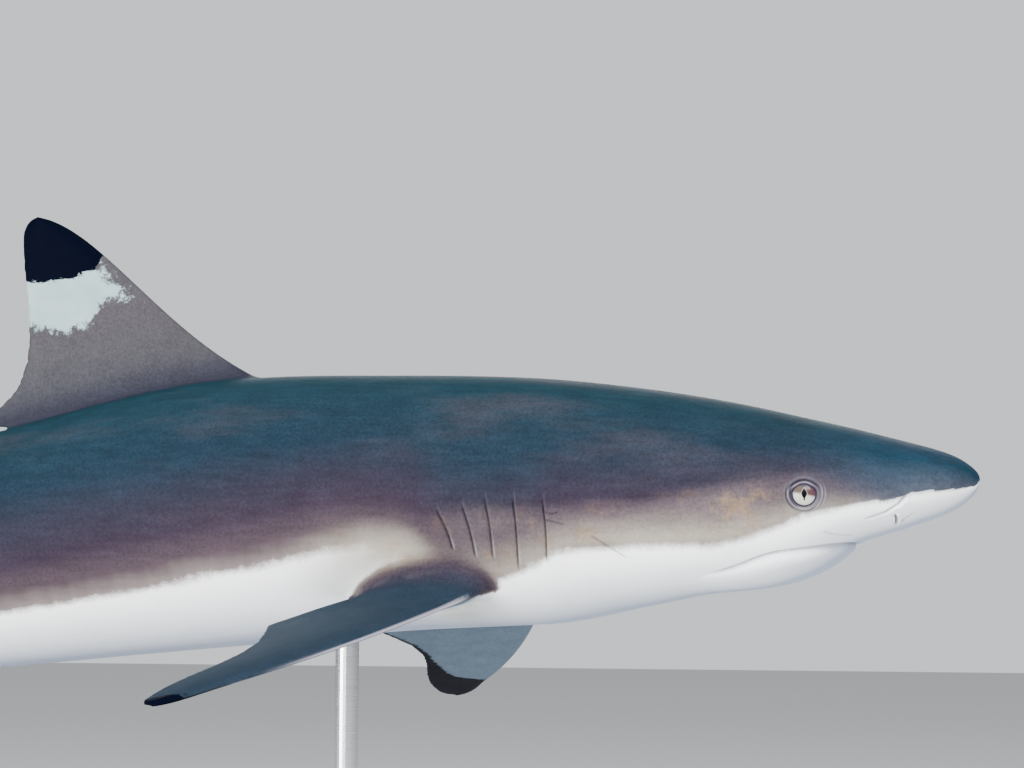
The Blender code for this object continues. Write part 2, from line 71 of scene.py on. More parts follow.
# Body sections: how far back, top, bottom, level of the widest point, half width, and the
# exponents of the upper and lower halves (2 is an ellipse, more is squarer).
SECTIONS = np.array(
    [
        (0.0, 0.00, 0.00, 0.00, 0.00, 2.0, 2.0),  # snout tip
        (0.3, 0.50, -0.66, -0.02, 1.20, 2.0, 2.0),
        (1.0, 0.97, -1.17, -0.10, 2.15, 2.1, 2.2),
        (3.0, 1.64, -1.84, -0.35, 3.40, 2.2, 2.6),  # nostrils
        (5.0, 2.22, -2.38, -0.65, 4.02, 2.2, 2.9),  # front of the mouth
        (7.0, 2.75, -3.20, -0.95, 4.45, 2.1, 3.1),  # eyes
        (10.0, 3.51, -4.02, -1.20, 4.90, 2.1, 3.0),  # corners of the mouth
        (14.0, 4.28, -4.80, -1.20, 5.25, 2.1, 2.7),
        (18.0, 4.83, -5.42, -1.05, 5.45, 2.1, 2.5),  # gills
        (24.0, 5.27, -5.52, -0.80, 5.65, 2.1, 2.3),  # rear of the pectoral bases
        (32.0, 5.70, -5.72, -0.40, 5.65, 2.1, 2.2),  # front of the first dorsal
        (42.0, 4.80, -5.52, -0.20, 5.05, 2.1, 2.1),
        (52.0, 4.10, -4.45, 0.00, 4.05, 2.1, 2.1),  # rear of the pelvic bases
        (62.0, 3.15, -3.15, 0.00, 2.80, 2.1, 2.1),  # second dorsal and anal
        (70.0, 2.20, -2.05, 0.00, 1.90, 2.1, 2.1),
        (74.0, 1.88, -1.78, 0.05, 1.50, 2.1, 2.1),  # root of the tail fin
        (79.0, 1.40, -1.30, 0.05, 0.86, 2.0, 2.0),
        (88.0, 1.00, -0.85, 0.08, 0.48, 2.0, 2.0),
        (95.0, 0.68, -0.45, 0.12, 0.28, 2.0, 2.0),
        (99.2, 0.36, 0.02, 0.18, 0.12, 2.0, 2.0),
    ]
)
BODY_END = 99.2
HEAD_END = 26.0  # every feature of the head and gills is ahead of this
TAIL_PIT = 73.2

# Lower jaw: the mouth is a broad arch seen from below.
MOUTH_FRONT = 5.11
MOUTH_WIDEST = 8.7
MOUTH_HALF_WIDTH = 3.93
MOUTH_CORNER = 10.15
MOUTH_ARCH_EXPONENT = 2.3

EYE_LEVEL = (6.29, -0.58)  # how far back and up the pupil is
EYE_BALL_RADII = (0.0082, 0.0050)  # m, across and into the head
EYE_OPENING = 6.75  # mm, radius of the visible ball

# Gill slits, front to rear: top and bottom ends as (how far back, height).
GILL_SLITS = [
    ((16.70, -0.42), (16.62, -3.15)),
    ((17.93, -0.27), (17.82, -3.38)),
    ((19.10, -0.29), (18.84, -2.92)),
    ((20.06, -0.55), (19.55, -2.82)),
    ((21.11, -0.74), (20.46, -2.48)),
]


def ease(at, start, end):
    """0 before start, 1 after end, and a smooth rise between them."""
    t = np.clip((at - start) / (end - start), 0, 1)
    return t * t * (3 - 2 * t)


def spine_axes(at):
    """Unit vectors forward, to the animal's right and up, at these stations."""
    at = np.asarray(at, float)
    # In degrees: the trunk and the tail bend opposite ways, and the tail fin's stem rises.
    pitch = 1.4 + 6.6 * ease(at, 16, 46) - 6 * ease(at, 46, 70) - 36 * ease(at, 69, 80)
    turn = 3.8 * ease(at, 0, 44) - 9 * ease(at, 44, 72) - 10 * ease(at, 62, 96)
    pitch, turn = np.radians(pitch), np.radians(turn)
    forward = np.stack(
        [np.cos(pitch) * np.cos(turn), np.cos(pitch) * np.sin(turn), np.sin(pitch)], -1
    )
    up = np.stack(
        [-np.sin(pitch) * np.cos(turn), -np.sin(pitch) * np.sin(turn), np.cos(pitch)], -1
    )
    return forward, np.cross(forward, up), up


SPINE_STEPS = np.linspace(0, 100, 2001)
STEP_BACK = -spine_axes(SPINE_STEPS)[0] * (SPINE_STEPS[1] - SPINE_STEPS[0])
SPINE_LINE = np.concatenate(
    [np.zeros((1, 3)), np.cumsum((STEP_BACK[1:] + STEP_BACK[:-1]) / 2, axis=0)]
)


def along_spine(point):
    """World places, before the snout tip is added, of straight (back, right, up) points."""
    at, right, up = np.moveaxis(np.asarray(point, float), -1, 0)
    middle = np.stack([np.interp(at, SPINE_STEPS, SPINE_LINE[:, k]) for k in range(3)], -1)
    _, right_axis, up_axis = spine_axes(at)
    return (middle + right_axis * right[..., None] + up_axis * up[..., None]) * PERCENT


def box_centre(node):
    """The middle of a solid's box."""
    low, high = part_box(node)
    return np.array((low + high) / 2)


# The solids' right eye fixes where the snout tip is.
EYE_SOLID = (6.3, 3.76, -0.53)
SNOUT_TIP = box_centre("eye_right") - along_spine(EYE_SOLID)


def place(point):
    """World points in metres from straight (back, right, up) points."""
    return along_spine(point) + SNOUT_TIP


def smooth_through(at, stations, values):
    """A curve through the stations with no overshoot between them (monotone cubic)."""
    step = np.diff(stations)
    slope = np.diff(values) / step
    before, after = 2 * step[1:] + step[:-1], step[1:] + 2 * step[:-1]
    rising = slope[:-1] * slope[1:] > 0
    safe = np.where(rising[:, None], np.stack([slope[:-1], slope[1:]], 1), 1.0)
    mean = (before + after) / (before / safe[:, 0] + after / safe[:, 1])
    tangent = np.concatenate([slope[:1], np.where(rising, mean, 0), slope[-1:]])
    i = np.clip(np.searchsorted(stations, at) - 1, 0, len(step) - 1)
    t = (at - stations[i]) / step[i]
    return (
        (2 * t**3 - 3 * t**2 + 1) * values[i]
        + (t**3 - 2 * t**2 + t) * step[i] * tangent[i]
        + (3 * t**2 - 2 * t**3) * values[i + 1]
        + (t**3 - t**2) * step[i] * tangent[i + 1]
    )


def line_through(at, *stations):
    """A smooth value along the body from a few (how far back, value) pairs."""
    table = np.array(stations, float)
    at = np.clip(at, table[0, 0], table[-1, 0])
    return smooth_through(at, table[:, 0], table[:, 1])


def body_profile(at):
    """Top, bottom, widest level, half width and exponents; the root makes the tip round."""
    root = np.sqrt(np.maximum(at, 0))
    stations = np.sqrt(SECTIONS[:, 0])
    return [smooth_through(root, stations, SECTIONS[:, k]) for k in range(1, 7)]


def plain_body(at, angle):
    """The body with no features, as straight points; the angle runs from top to right."""
    top, bottom, middle, half_width, upper, lower = body_profile(at)
    across, rise = np.abs(np.sin(angle)), np.cos(angle)
    exponent = np.where(rise > 0, upper, lower)
    height = np.where(rise > 0, top - middle, middle - bottom) + 1e-9
    reach = (across / (half_width + 1e-9)) ** exponent + (np.abs(rise) / height) ** exponent
    reach = reach ** (-1 / exponent)
    return np.stack([at, reach * np.sin(angle), middle + reach * rise], -1)


def plain_normal(at, angle):
    """Outward unit normals of the plain body."""
    step = 1e-3
    along = plain_body(at + step, angle) - plain_body(np.maximum(at - step, 1e-6), angle)
    around = plain_body(at, angle + step) - plain_body(at, angle - step)
    normal = np.cross(along, around)
    return normal / (np.linalg.norm(normal, axis=-1, keepdims=True) + 1e-12)


def skin_point(at, up):
    """The plain body's right flank at this station and height."""
    angles = np.radians(np.linspace(1, 179, 2000))
    ring = plain_body(np.full(2000, float(at)), angles)
    return ring[np.argmin(np.abs(ring[:, 2] - up))]


# ---- relief of the skin -------------------------------------------------------------------


def bump(distance, width):
    """1 at no distance, falling off on both sides like a bell."""
    return np.exp(-((distance / width) ** 2))


def from_top(angle):
    """How far round the body an angle is from the top, whichever way is shorter."""
    return np.abs(((angle + math.pi) % (2 * math.pi)) - math.pi)


def local_axes(centre):
    """Forward, up and outward unit vectors of the plain skin near a straight point."""
    angle = math.atan2(centre[1], centre[2] - float(body_profile(np.array(centre[0]))[2]))
    out = plain_normal(np.array(centre[0]), np.array(angle))
    forward = np.array([-1.0, 0, 0])
    forward -= out * (forward @ out)
    forward /= np.linalg.norm(forward)
    up = np.cross(forward, out)
    return forward, up * np.sign(up[2]), out


EYE_CENTRE = skin_point(*EYE_LEVEL)
EYE_AXES = local_axes(EYE_CENTRE)


def eye_places(points):
    """Millimetres forward of and above the pupil, and out from the skin there."""
    offset = (points - EYE_CENTRE) / MM
    return [offset @ axis for axis in EYE_AXES]


def mouth_distance(points, normal):
    """Millimetres along the skin inside the mouth's arch, and how far the arch lasts."""
    at, right = points[:, 0], np.abs(points[:, 1])
    depth = MOUTH_WIDEST - MOUTH_FRONT
    n = MOUTH_ARCH_EXPONENT
    x = np.maximum(MOUTH_WIDEST - at, 0) / depth
    y = right / (MOUTH_HALF_WIDTH - 0.20 * ease(at, 7.5, MOUTH_CORNER))
    value = (x**n + y**n) ** (1 / n) + 1e-9
    slope_x = (x / value) ** (n - 1) / depth
    slope_y = (y / value) ** (n - 1) / MOUTH_HALF_WIDTH
    slope = np.hypot(slope_x, slope_y) + 1e-9
    # The arch is drawn on a plan, and steep skin has more length than its plan.
    facing = (slope_y * np.abs(normal[:, 1]) - slope_x * normal[:, 0]) / slope
    inside = (1 - value) / slope / np.sqrt(np.maximum(1 - facing**2, 0.05)) / MM
    below = points[:, 2] < body_profile(at)[2] - 0.3
    return np.where(below, inside, -FAR), 1 - ease(at, MOUTH_CORNER - 0.5, MOUTH_CORNER + 0.15)


def curve_distance(points, curve):
    """Millimetres from a curve of straight points, the side of it, and the place on it."""
    best = np.full(len(points), 1e9)
    side = np.zeros(len(points))
    share = np.zeros(len(points))
    count = len(curve) - 1
    for k in range(count):
        start, run = curve[k], curve[k + 1] - curve[k]
        t = np.clip(((points - start) @ run) / (run @ run), 0, 1)
        away = points - (start + t[:, None] * run)
        distance = np.linalg.norm(away, axis=1)
        nearer = distance < best
        best = np.where(nearer, distance, best)
        side = np.where(nearer, -away[:, 0], side)
        share = np.where(nearer, (k + t) / count, share)
    return best / MM, side / MM, share


def quarter_round(share):
    """0 to 1 as share goes from 0 to 1, upright at first and level at last."""
    share = np.clip(share, 0, 1)
    return np.sqrt(1 - (1 - share) ** 2)


def flank_curve(ends, steps=9, bow=0.0):
    """A curve on the right flank between (how far back, height) places."""
    ends = np.array(ends, float)
    t = np.linspace(0, 1, steps)
    knots = np.linspace(0, 1, len(ends))
    at = np.interp(t, knots, ends[:, 0]) - bow * np.sin(math.pi * t)
    up = np.interp(t, knots, ends[:, 1])
    return np.array([skin_point(a, u) for a, u in zip(at, up)])


def belly_curve(places):
    """A curve on the underside through (how far back, to the right) places."""
    curve = []
    for at, right in places:
        angles = np.radians(np.linspace(91, 180, 1500))
        ring = plain_body(np.full(1500, float(at)), angles)
        curve.append(ring[np.argmin(np.abs(ring[:, 1] - right))])
    return np.array(curve)


GILL_CURVES = [flank_curve(ends, bow=0.10) for ends in GILL_SLITS]
# Nostril: the slit, the fold that runs up and back from it, and the edge of its flap.
NOSTRIL_SLIT = belly_curve([(3.02, 2.78), (2.98, 2.42), (3.06, 2.02), (3.18, 1.62)])
NOSTRIL_FOLD = flank_curve([(4.15, -1.62), (3.32, -1.36), (2.78, -1.05), (2.42, -0.68)], 13)
NOSTRIL_FLAP = belly_curve([(3.02, 1.72), (2.75, 2.05), (2.33, 2.22)])
# A faint line on the upper lip, and healed scratches near the gills.
UPPER_LIP_LINE = flank_curve([(5.70, -2.03), (5.45, -2.14), (5.10, -2.19), (4.75, -2.18)], 9)
SCARS = [
    flank_curve([(16.60, -1.02), (16.30, -1.10), (16.05, -1.02)], 5),
    flank_curve([(16.60, -1.30), (16.20, -1.42), (15.75, -1.55)], 5),
    flank_curve([(14.80, -1.95), (14.20, -2.35), (13.30, -2.95)], 9),
]


def eye_relief(right_side, marks):
    """Lids and folds round the eye, as moves from the plain skin.

    Each bump is a fold or a furrow: its height, its radius and its width in millimetres.
    """
    forward, up, out = eye_places(right_side)
    radius = np.hypot(forward, up)
    angle = np.arctan2(up, forward)
    near = (np.abs(out) < 12) & (radius < 30)
    top = ease(np.sin(angle), 0.05, 0.75)
    front = ease(np.cos(angle), 0.25, 0.85) * (1 - top)
    rear = ease(-np.cos(angle), 0.25, 0.85) * (1 - top)
    low = ease(-np.sin(angle), 0.1, 0.8)
    # The upper lid hides the top of the ball.
    opening = EYE_OPENING - 1.45 * ease(np.sin(angle), 0.15, 0.95)
    past = radius - opening
    # The whole rim stands proud, and the skin drops to behind the ball inside the opening.
    height = 0.35 * bump(radius - 9, 4.5)
    height -= 4.0 * (1 - ease(past, -0.5, 0.3))
    height += top * (0.75 * bump(past - 0.9, 0.8) - 1.5 * bump(past - 2.25, 0.55))
    height += top * 0.6 * bump(past - 3.6, 1.0)
    height -= (1 - top) * 0.65 * (1 - ease(radius, 7.3, 8.7))
    # Two furrows and two folds behind the eye, the same in front, and one of each below.
    height -= rear * (0.9 * bump(radius - 7.5, 0.7) + 0.55 * bump(radius - 10.0, 0.4))
    height += rear * (0.50 * bump(radius - 8.9, 0.6) + 0.35 * bump(radius - 10.8, 0.5))
    height += front * (0.55 * bump(radius - 9.9, 0.5) + 0.60 * bump(radius - 11.6, 0.6))
    height -= front * (0.45 * bump(radius - 8.6, 0.5) + 0.45 * bump(radius - 10.7, 0.4))
    height += low * (0.55 * bump(radius - 8.6, 0.6) - 0.5 * bump(radius - 9.5, 0.35))
    # Furrows, the edge of the opening and the groove above it under the upper lid are drawn dark as
    # painted shade, and so is all the skin inside the opening.
    dark = bump(past - 0.1, 0.45) * (0.35 + 0.25 * rear + 0.30 * top)
    dark = np.maximum(dark, top * 0.60 * bump(past - 2.45, 0.55))
    dark = np.maximum(dark, 0.65 * rear * bump(radius - 7.6, 0.65))
    dark = np.maximum(dark, 0.55 * rear * bump(radius - 10.0, 0.4))
    dark = np.maximum(dark, 0.30 * front * (bump(radius - 8.6, 0.6) + bump(radius - 10.7, 0.4)))
    dark = np.maximum(dark, 0.45 * low * bump(radius - 9.4, 0.35))
    # Folds have pale edges that come and go round the eye: painted highlights on their ridges.
    broken = 0.6 + 0.4 * np.sin(3.0 * angle + 1.0) * np.sin(1.3 * radius + 2.0 * angle)
    pale = 0.40 * rear * bump(radius - 8.9, 0.45) + 0.25 * rear * bump(radius - 10.8, 0.4)
    pale += 0.45 * front * bump(radius - 10.0, 0.7) + 0.30 * front * bump(radius - 11.7, 0.4)
    pale += 0.35 * low * bump(radius - 8.3, 0.6) + 0.45 * top * bump(past - 1.1, 0.6)
    pale *= broken
    tone = np.where(radius < opening - 0.4, 1.0, dark - pale)
    marks["crease"] = np.where(near & (radius < 13.5), tone, marks["crease"])
    reach = radius - 1.2 * front
    marks["lid"] = np.where(near, 1 - ease(reach, 9.2, 11.0), 0)
    return np.where(near, height, 0)[:, None] * EYE_AXES[2] * MM


def darken(marks, line):
    """Draws a dark line (above 0) or a pale one (below 0) over what is fainter than it."""
    marks["crease"] = np.where(np.abs(line) > np.abs(marks["crease"]), line, marks["crease"])


def groove(points, curve, marks, depth, width, ink, lip=0.0, lip_width=2.0):
    """Heights in millimetres of a crease along a curve, with a raised lip in front of it.

    The ink is how dark the crease is drawn, up to 1: painted shade in a slit or fold, or the mark of a
    scar.
    """
    distance, side, share = curve_distance(points, curve)
    fade = ease(share, 0.0, 0.12) * (1 - ease(share, 0.88, 1.0))
    height = -depth * bump(distance, width) * fade
    height += lip * bump(side - lip_width, lip_width) * bump(distance, lip_width * 2.2) * fade
    darken(marks, ink * bump(distance, width * 0.8) * fade)
    return height


def gill_relief(points, marks):
    """Each slit is a sharp step down behind a soft flap that bulges ahead of it."""
    height = np.zeros(len(points))
    for curve in GILL_CURVES:
        distance, side, share = curve_distance(points, curve)
        fade = ease(share, 0.0, 0.14) * (1 - ease(share, 0.86, 1.0))
        ahead = np.maximum(side, 0)
        behind = np.maximum(-side, 0)
        flap = 0.9 * np.exp(-ahead / 5.0) * ease(side, -0.7, 0.3)
        hollow = -1.1 * np.exp(-behind / 3.5) * (1 - ease(side, -0.4, 0.5))
        along = bump(np.sqrt(np.maximum(distance**2 - side**2, 0)), 3.0)
        height += (flap + hollow) * fade * along
        height -= 1.3 * bump(side + 0.25, 0.45) * fade * bump(distance, 1.6)
        # A dark line of painted shade in the slit, painted shade in the hollow behind it and a painted
        # highlight along the edge of the flap ahead of it.
        line = bump(side + 0.2, 0.36) * bump(distance, 1.3) * fade
        darken(marks, 0.74 * line * (0.5 + 0.5 * ease(share, 0.05, 0.45)))
        darken(marks, 0.16 * np.exp(-behind / 2.2) * (side < 0) * along * fade)
        edge = bump(side - 1.2, 0.5) * bump(distance, 2.4) * (1 - ease(share, 0.9, 1.0))
        darken(marks, -edge * (0.04 + 0.28 * ease(share, 0.5, 0.9)))
    return height


def jaw_relief(points, normal, marks):
    """The lower jaw's lip bulges inside the mouth's arch, under a tight crease."""
    inside, lasts = mouth_distance(points, normal)
    at = points[:, 0]
    proud = 6.6 * (1 - ease(at, 7.8, 12.0)) * quarter_round((at - MOUTH_FRONT) / 2.7)
    lip = quarter_round(inside / (4.4 + 3.6 * ease(at, 5.5, 8.0))) * ease(inside, 0.0, 0.9)
    height = proud * lip
    height -= (1.9 + 0.5 * ease(at, 6, 9)) * bump(inside + 0.1, 0.8) * lasts
    # The upper lip swells a little over the crease.
    height += 0.45 * bump(inside + 3.2, 2.2) * lasts
    # The crease is drawn dark: painted shade.
    darken(marks, (0.55 + 0.3 * ease(at, 5.5, 9.5)) * bump(inside + 0.15, 0.55) * lasts)
    return height


def relief(at, angle):
    """The finished skin as straight points, with the marks that its colours follow."""
    points = plain_body(at, angle)
    normal = plain_normal(at, angle)
    mirror = np.array([1.0, -1.0, 1.0])
    left = points[:, 1] < 0
    half = np.where(left[:, None], points * mirror, points)
    half_normal = np.where(left[:, None], normal * mirror, normal)
    marks = {"crease": np.zeros(len(points)), "lid": np.zeros(len(points))}
    moved = half.copy()
    head = at < HEAD_END
    part = {name: values[head] for name, values in marks.items()}
    near, near_normal = half[head], half_normal[head]
    height = jaw_relief(near, near_normal, part) + gill_relief(near, part)
    # The nostril's slit, fold and flap and the lip line are drawn dark: painted shade in their creases.
    height += groove(near, NOSTRIL_FOLD, part, depth=1.9, width=0.9, ink=0.55, lip=0.9)
    height += groove(
        near, NOSTRIL_SLIT, part, depth=3.4, width=0.65, ink=0.90, lip=1.3, lip_width=1.6
    )
    height += groove(near, NOSTRIL_FLAP, part, depth=1.7, width=0.7, ink=0.60, lip=0.9)
    height += groove(near, UPPER_LIP_LINE, part, depth=0.7, width=0.7, ink=0.40)
    # The scratches are on the right side only, so the left is moved out of their reach.
    scratched = near + np.where(left[head], FAR, 0.0)[:, None]
    for scar in SCARS:
        height += groove(scratched, scar, part, depth=0.3, width=0.5, ink=0.75)
    moved[head] += near_normal * (height * MM)[:, None] + eye_relief(near, part)
    for name, values in part.items():
        marks[name][head] = values
    # The pit of this family of sharks: a notch above the root of the tail fin.
    pit = 2.0 * bump(at - TAIL_PIT, 0.55) * bump(from_top(angle), 0.5)
    moved -= half_normal * (pit * MM)[:, None]
    return np.where(left[:, None], moved * mirror, moved), marks


# ---- adaptive grid over the body -------------------------------------------------------------

FINEST = 3  # halvings of the coarsest cell


def needed_level(at, angle):
    """How many times a cell here is halved, from how many millimetres off the features are."""
    half = plain_body(at, angle)
    normal = plain_normal(at, angle)
    half[:, 1] = np.abs(half[:, 1])
    level = np.zeros(len(half), int)

    def within(distance, *steps):
        for wanted, limit in steps:
            level[distance < limit] = np.maximum(level[distance < limit], wanted)

    forward, up, out = eye_places(half)
    eye = np.hypot(forward, up) + np.where(np.abs(out) < 14, 0, FAR)
    within(eye, (1, 17.5), (2, 13.5), (3, 10.4))
    inside, _ = mouth_distance(half, normal)
    near_mouth = np.where(half[:, 0] < MOUTH_CORNER + 0.4, np.abs(inside), FAR)
    within(near_mouth, (1, 5.0), (2, 2.8), (3, 1.1))

    def within_curve(curve, first, last, *steps):
        near = (half[:, 0] > first) & (half[:, 0] < last)
        distance = np.full(len(half), FAR)
        distance[near] = curve_distance(half[near], curve)[0]
        within(distance, *steps)

    within_curve(UPPER_LIP_LINE, -1, 12, (1, 5.0), (2, 2.6))
    for curve in (NOSTRIL_SLIT, NOSTRIL_FOLD, NOSTRIL_FLAP):
        within_curve(curve, -1, 12, (1, 5.0), (2, 2.6), (3, 1.5))
    for curve in GILL_CURVES:
        within_curve(curve, 14.5, 23, (1, 6.5), (2, 3.0), (3, 1.3))
    for curve in SCARS:
        within_curve(curve, 12.5, 17.5, (1, 4.0), (2, 2.0), (3, 0.8))
    return level


def row_stations(settings):
    """Stations of the coarse rows, closer on the head, from a small ring at the tip."""
    # The squares crowd at the blunt tip, where the width grows fastest.
    at = np.concatenate([np.linspace(0.11, 2.2, 900) ** 2, np.linspace(4.85, BODY_END, 6000)])
    width = body_profile(at)[3]
    length = np.concatenate([[0], np.cumsum(np.hypot(np.diff(at), np.diff(width)))]) / MM
    head, trunk = settings.head_cell * 1000, settings.trunk_cell * 1000
    step = head + (trunk - head) * ease(at, 9, 25)
    count = np.concatenate([[0], np.cumsum(np.diff(length) / step[1:])])
    rows = int(count[-1])
    return np.interp(np.linspace(0, count[-1], rows + 1), count, at)


def cell_ring(used, i, j, size):
    """Lattice places round a cell: its corners, and those of smaller cells beside it."""
    wrap = used.shape[1]
    between = range(1, size)
    ring = [(i, j)]
    ring += [(i, j + k) for k in between if used[i, (j + k) % wrap]]
    ring += [(i, j + size)]
    ring += [(i + k, j + size) for k in between if used[i + k, (j + size) % wrap]]
    ring += [(i + size, j + size)]
    ring += [(i + size, j + k) for k in reversed(between) if used[i + size, (j + k) % wrap]]
    ring += [(i + size, j)]
    ring += [(i + k, j) for k in reversed(between) if used[i + k, j]]
    return ring


def body_grid(settings):
    """Vertices, faces, marks and face-corner places of the body's adaptive mesh."""
    rows = row_stations(settings)
    row_count, column_count = len(rows) - 1, settings.columns
    fine = 2**FINEST

    def lattice(i, j):
        at = np.interp(i / fine, np.arange(row_count + 1), rows)
        return at, j / (column_count * fine) * 2 * math.pi

    cells = np.stack(
        np.meshgrid(np.arange(row_count) * fine, np.arange(column_count) * fine, indexing="ij"), -1
    ).reshape(-1, 2)
    size = np.full(len(cells), fine)
    for level in range(1, FINEST + 1):
        at, angle = lattice(cells[:, 0] + size / 2, cells[:, 1] + size / 2)
        split = (size == fine >> (level - 1)) & (needed_level(at, angle) >= level)
        half = fine >> level
        parents = cells[split]
        children = [parents + np.array([a, b]) * half for a in (0, 1) for b in (0, 1)]
        cells = np.concatenate([cells[~split]] + children)
        size = np.concatenate([size[~split], np.full(4 * len(parents), half)])

    columns_fine = column_count * fine
    used = np.zeros((row_count * fine + 1, columns_fine), bool)
    for a, b in ((0, 0), (0, 1), (1, 0), (1, 1)):
        used[cells[:, 0] + a * size, (cells[:, 1] + b * size) % columns_fine] = True
    index = -np.ones(used.shape, int)
    rows_used, columns_used = np.nonzero(used)
    index[rows_used, columns_used] = np.arange(len(rows_used))
    places = list(zip(rows_used.tolist(), columns_used.tolist()))

    # A cell with smaller neighbours is a fan of triangles about its middle.
    faces, corners, middles = [], [], []
    for (i, j), s in zip(cells.tolist(), size.tolist()):
        ring = cell_ring(used, i, j, s)
        numbers = [index[a, b % columns_fine] for a, b in ring]
        if len(ring) == 4:
            faces.append(numbers)
            corners.append(ring)
            continue
        middle = (i + s / 2, j + s / 2)
        centre = len(places) + len(middles)
        middles.append(middle)
        for k in range(len(ring)):
            nxt = (k + 1) % len(ring)
            faces.append([centre, numbers[k], numbers[nxt]])
            corners.append([middle, ring[k], ring[nxt]])
    spots = np.array(places + middles, float)
    at, angle = lattice(spots[:, 0], spots[:, 1])
    points, marks = relief(at, angle)
    # Close the snout with a tip and the tail with its last ring's middle.
    first = [index[0, j] for j in range(0, columns_fine) if used[0, j]]
    last = [index[-1, j] for j in range(0, columns_fine) if used[-1, j]]
    count = len(points)
    tail = points[last].mean(0)
    points = np.concatenate([points, [[0.0, 0.0, 0.0], tail]])
    for end, ring, turn in ((count, first, 1), (count + 1, last, -1)):
        for k in range(len(ring)):
            a, b = ring[k], ring[(k + 1) % len(ring)]
            faces.append([end, b, a][::turn])
            row = 0 if turn == 1 else row_count * fine
            j = spots[ring[k]][1]
            step = columns_fine / len(ring)
            around = [(row, j + step / 2), (row, j + step), (row, j)]
            corners.append(around[::turn])
    marks = {name: np.append(values, [0.0, 0.0]) for name, values in marks.items()}
    flat = np.array([c for corner in corners for c in corner], float)
    at_corner, _ = lattice(flat[:, 0], flat[:, 1])
    texture = np.stack([body_texture_length(at_corner), flat[:, 1] / columns_fine], -1)
    return points, faces, marks, texture


def body_texture_length(at):
    """How far along the texture a station is: the head gets the most room, then the gills."""
    table = np.linspace(0, 100, 1001)
    room = 1 + 1.6 * (1 - ease(table, 9, 14)) + 0.6 * (1 - ease(table, 20, 26))
    total = np.concatenate([[0], np.cumsum((room[1:] + room[:-1]) / 2)])
    return np.interp(at, table, total / total[-1])


# ---- fins ------------------------------------------------------------------------------------


def bezier(controls, t):
    """Points on a cubic curve of four controls, at these shares of it."""
    a, b, c, d = (np.asarray(p, float) for p in controls)
    t = np.asarray(t, float)[:, None]
    return a * (1 - t) ** 3 + 3 * b * t * (1 - t) ** 2 + 3 * c * t**2 * (1 - t) + d * t**3


def chain(curves, breaks, t):
    """One curve from several Beziers; breaks says where along t each of them ends."""
    t = np.asarray(t, float)
    result = np.zeros((len(t), 2))
    start = 0.0
    for controls, end in zip(curves, breaks):
        within = (t >= start) & (t <= end)
        result[within] = bezier(controls, (t[within] - start) / (end - start))
        start = end
    return result


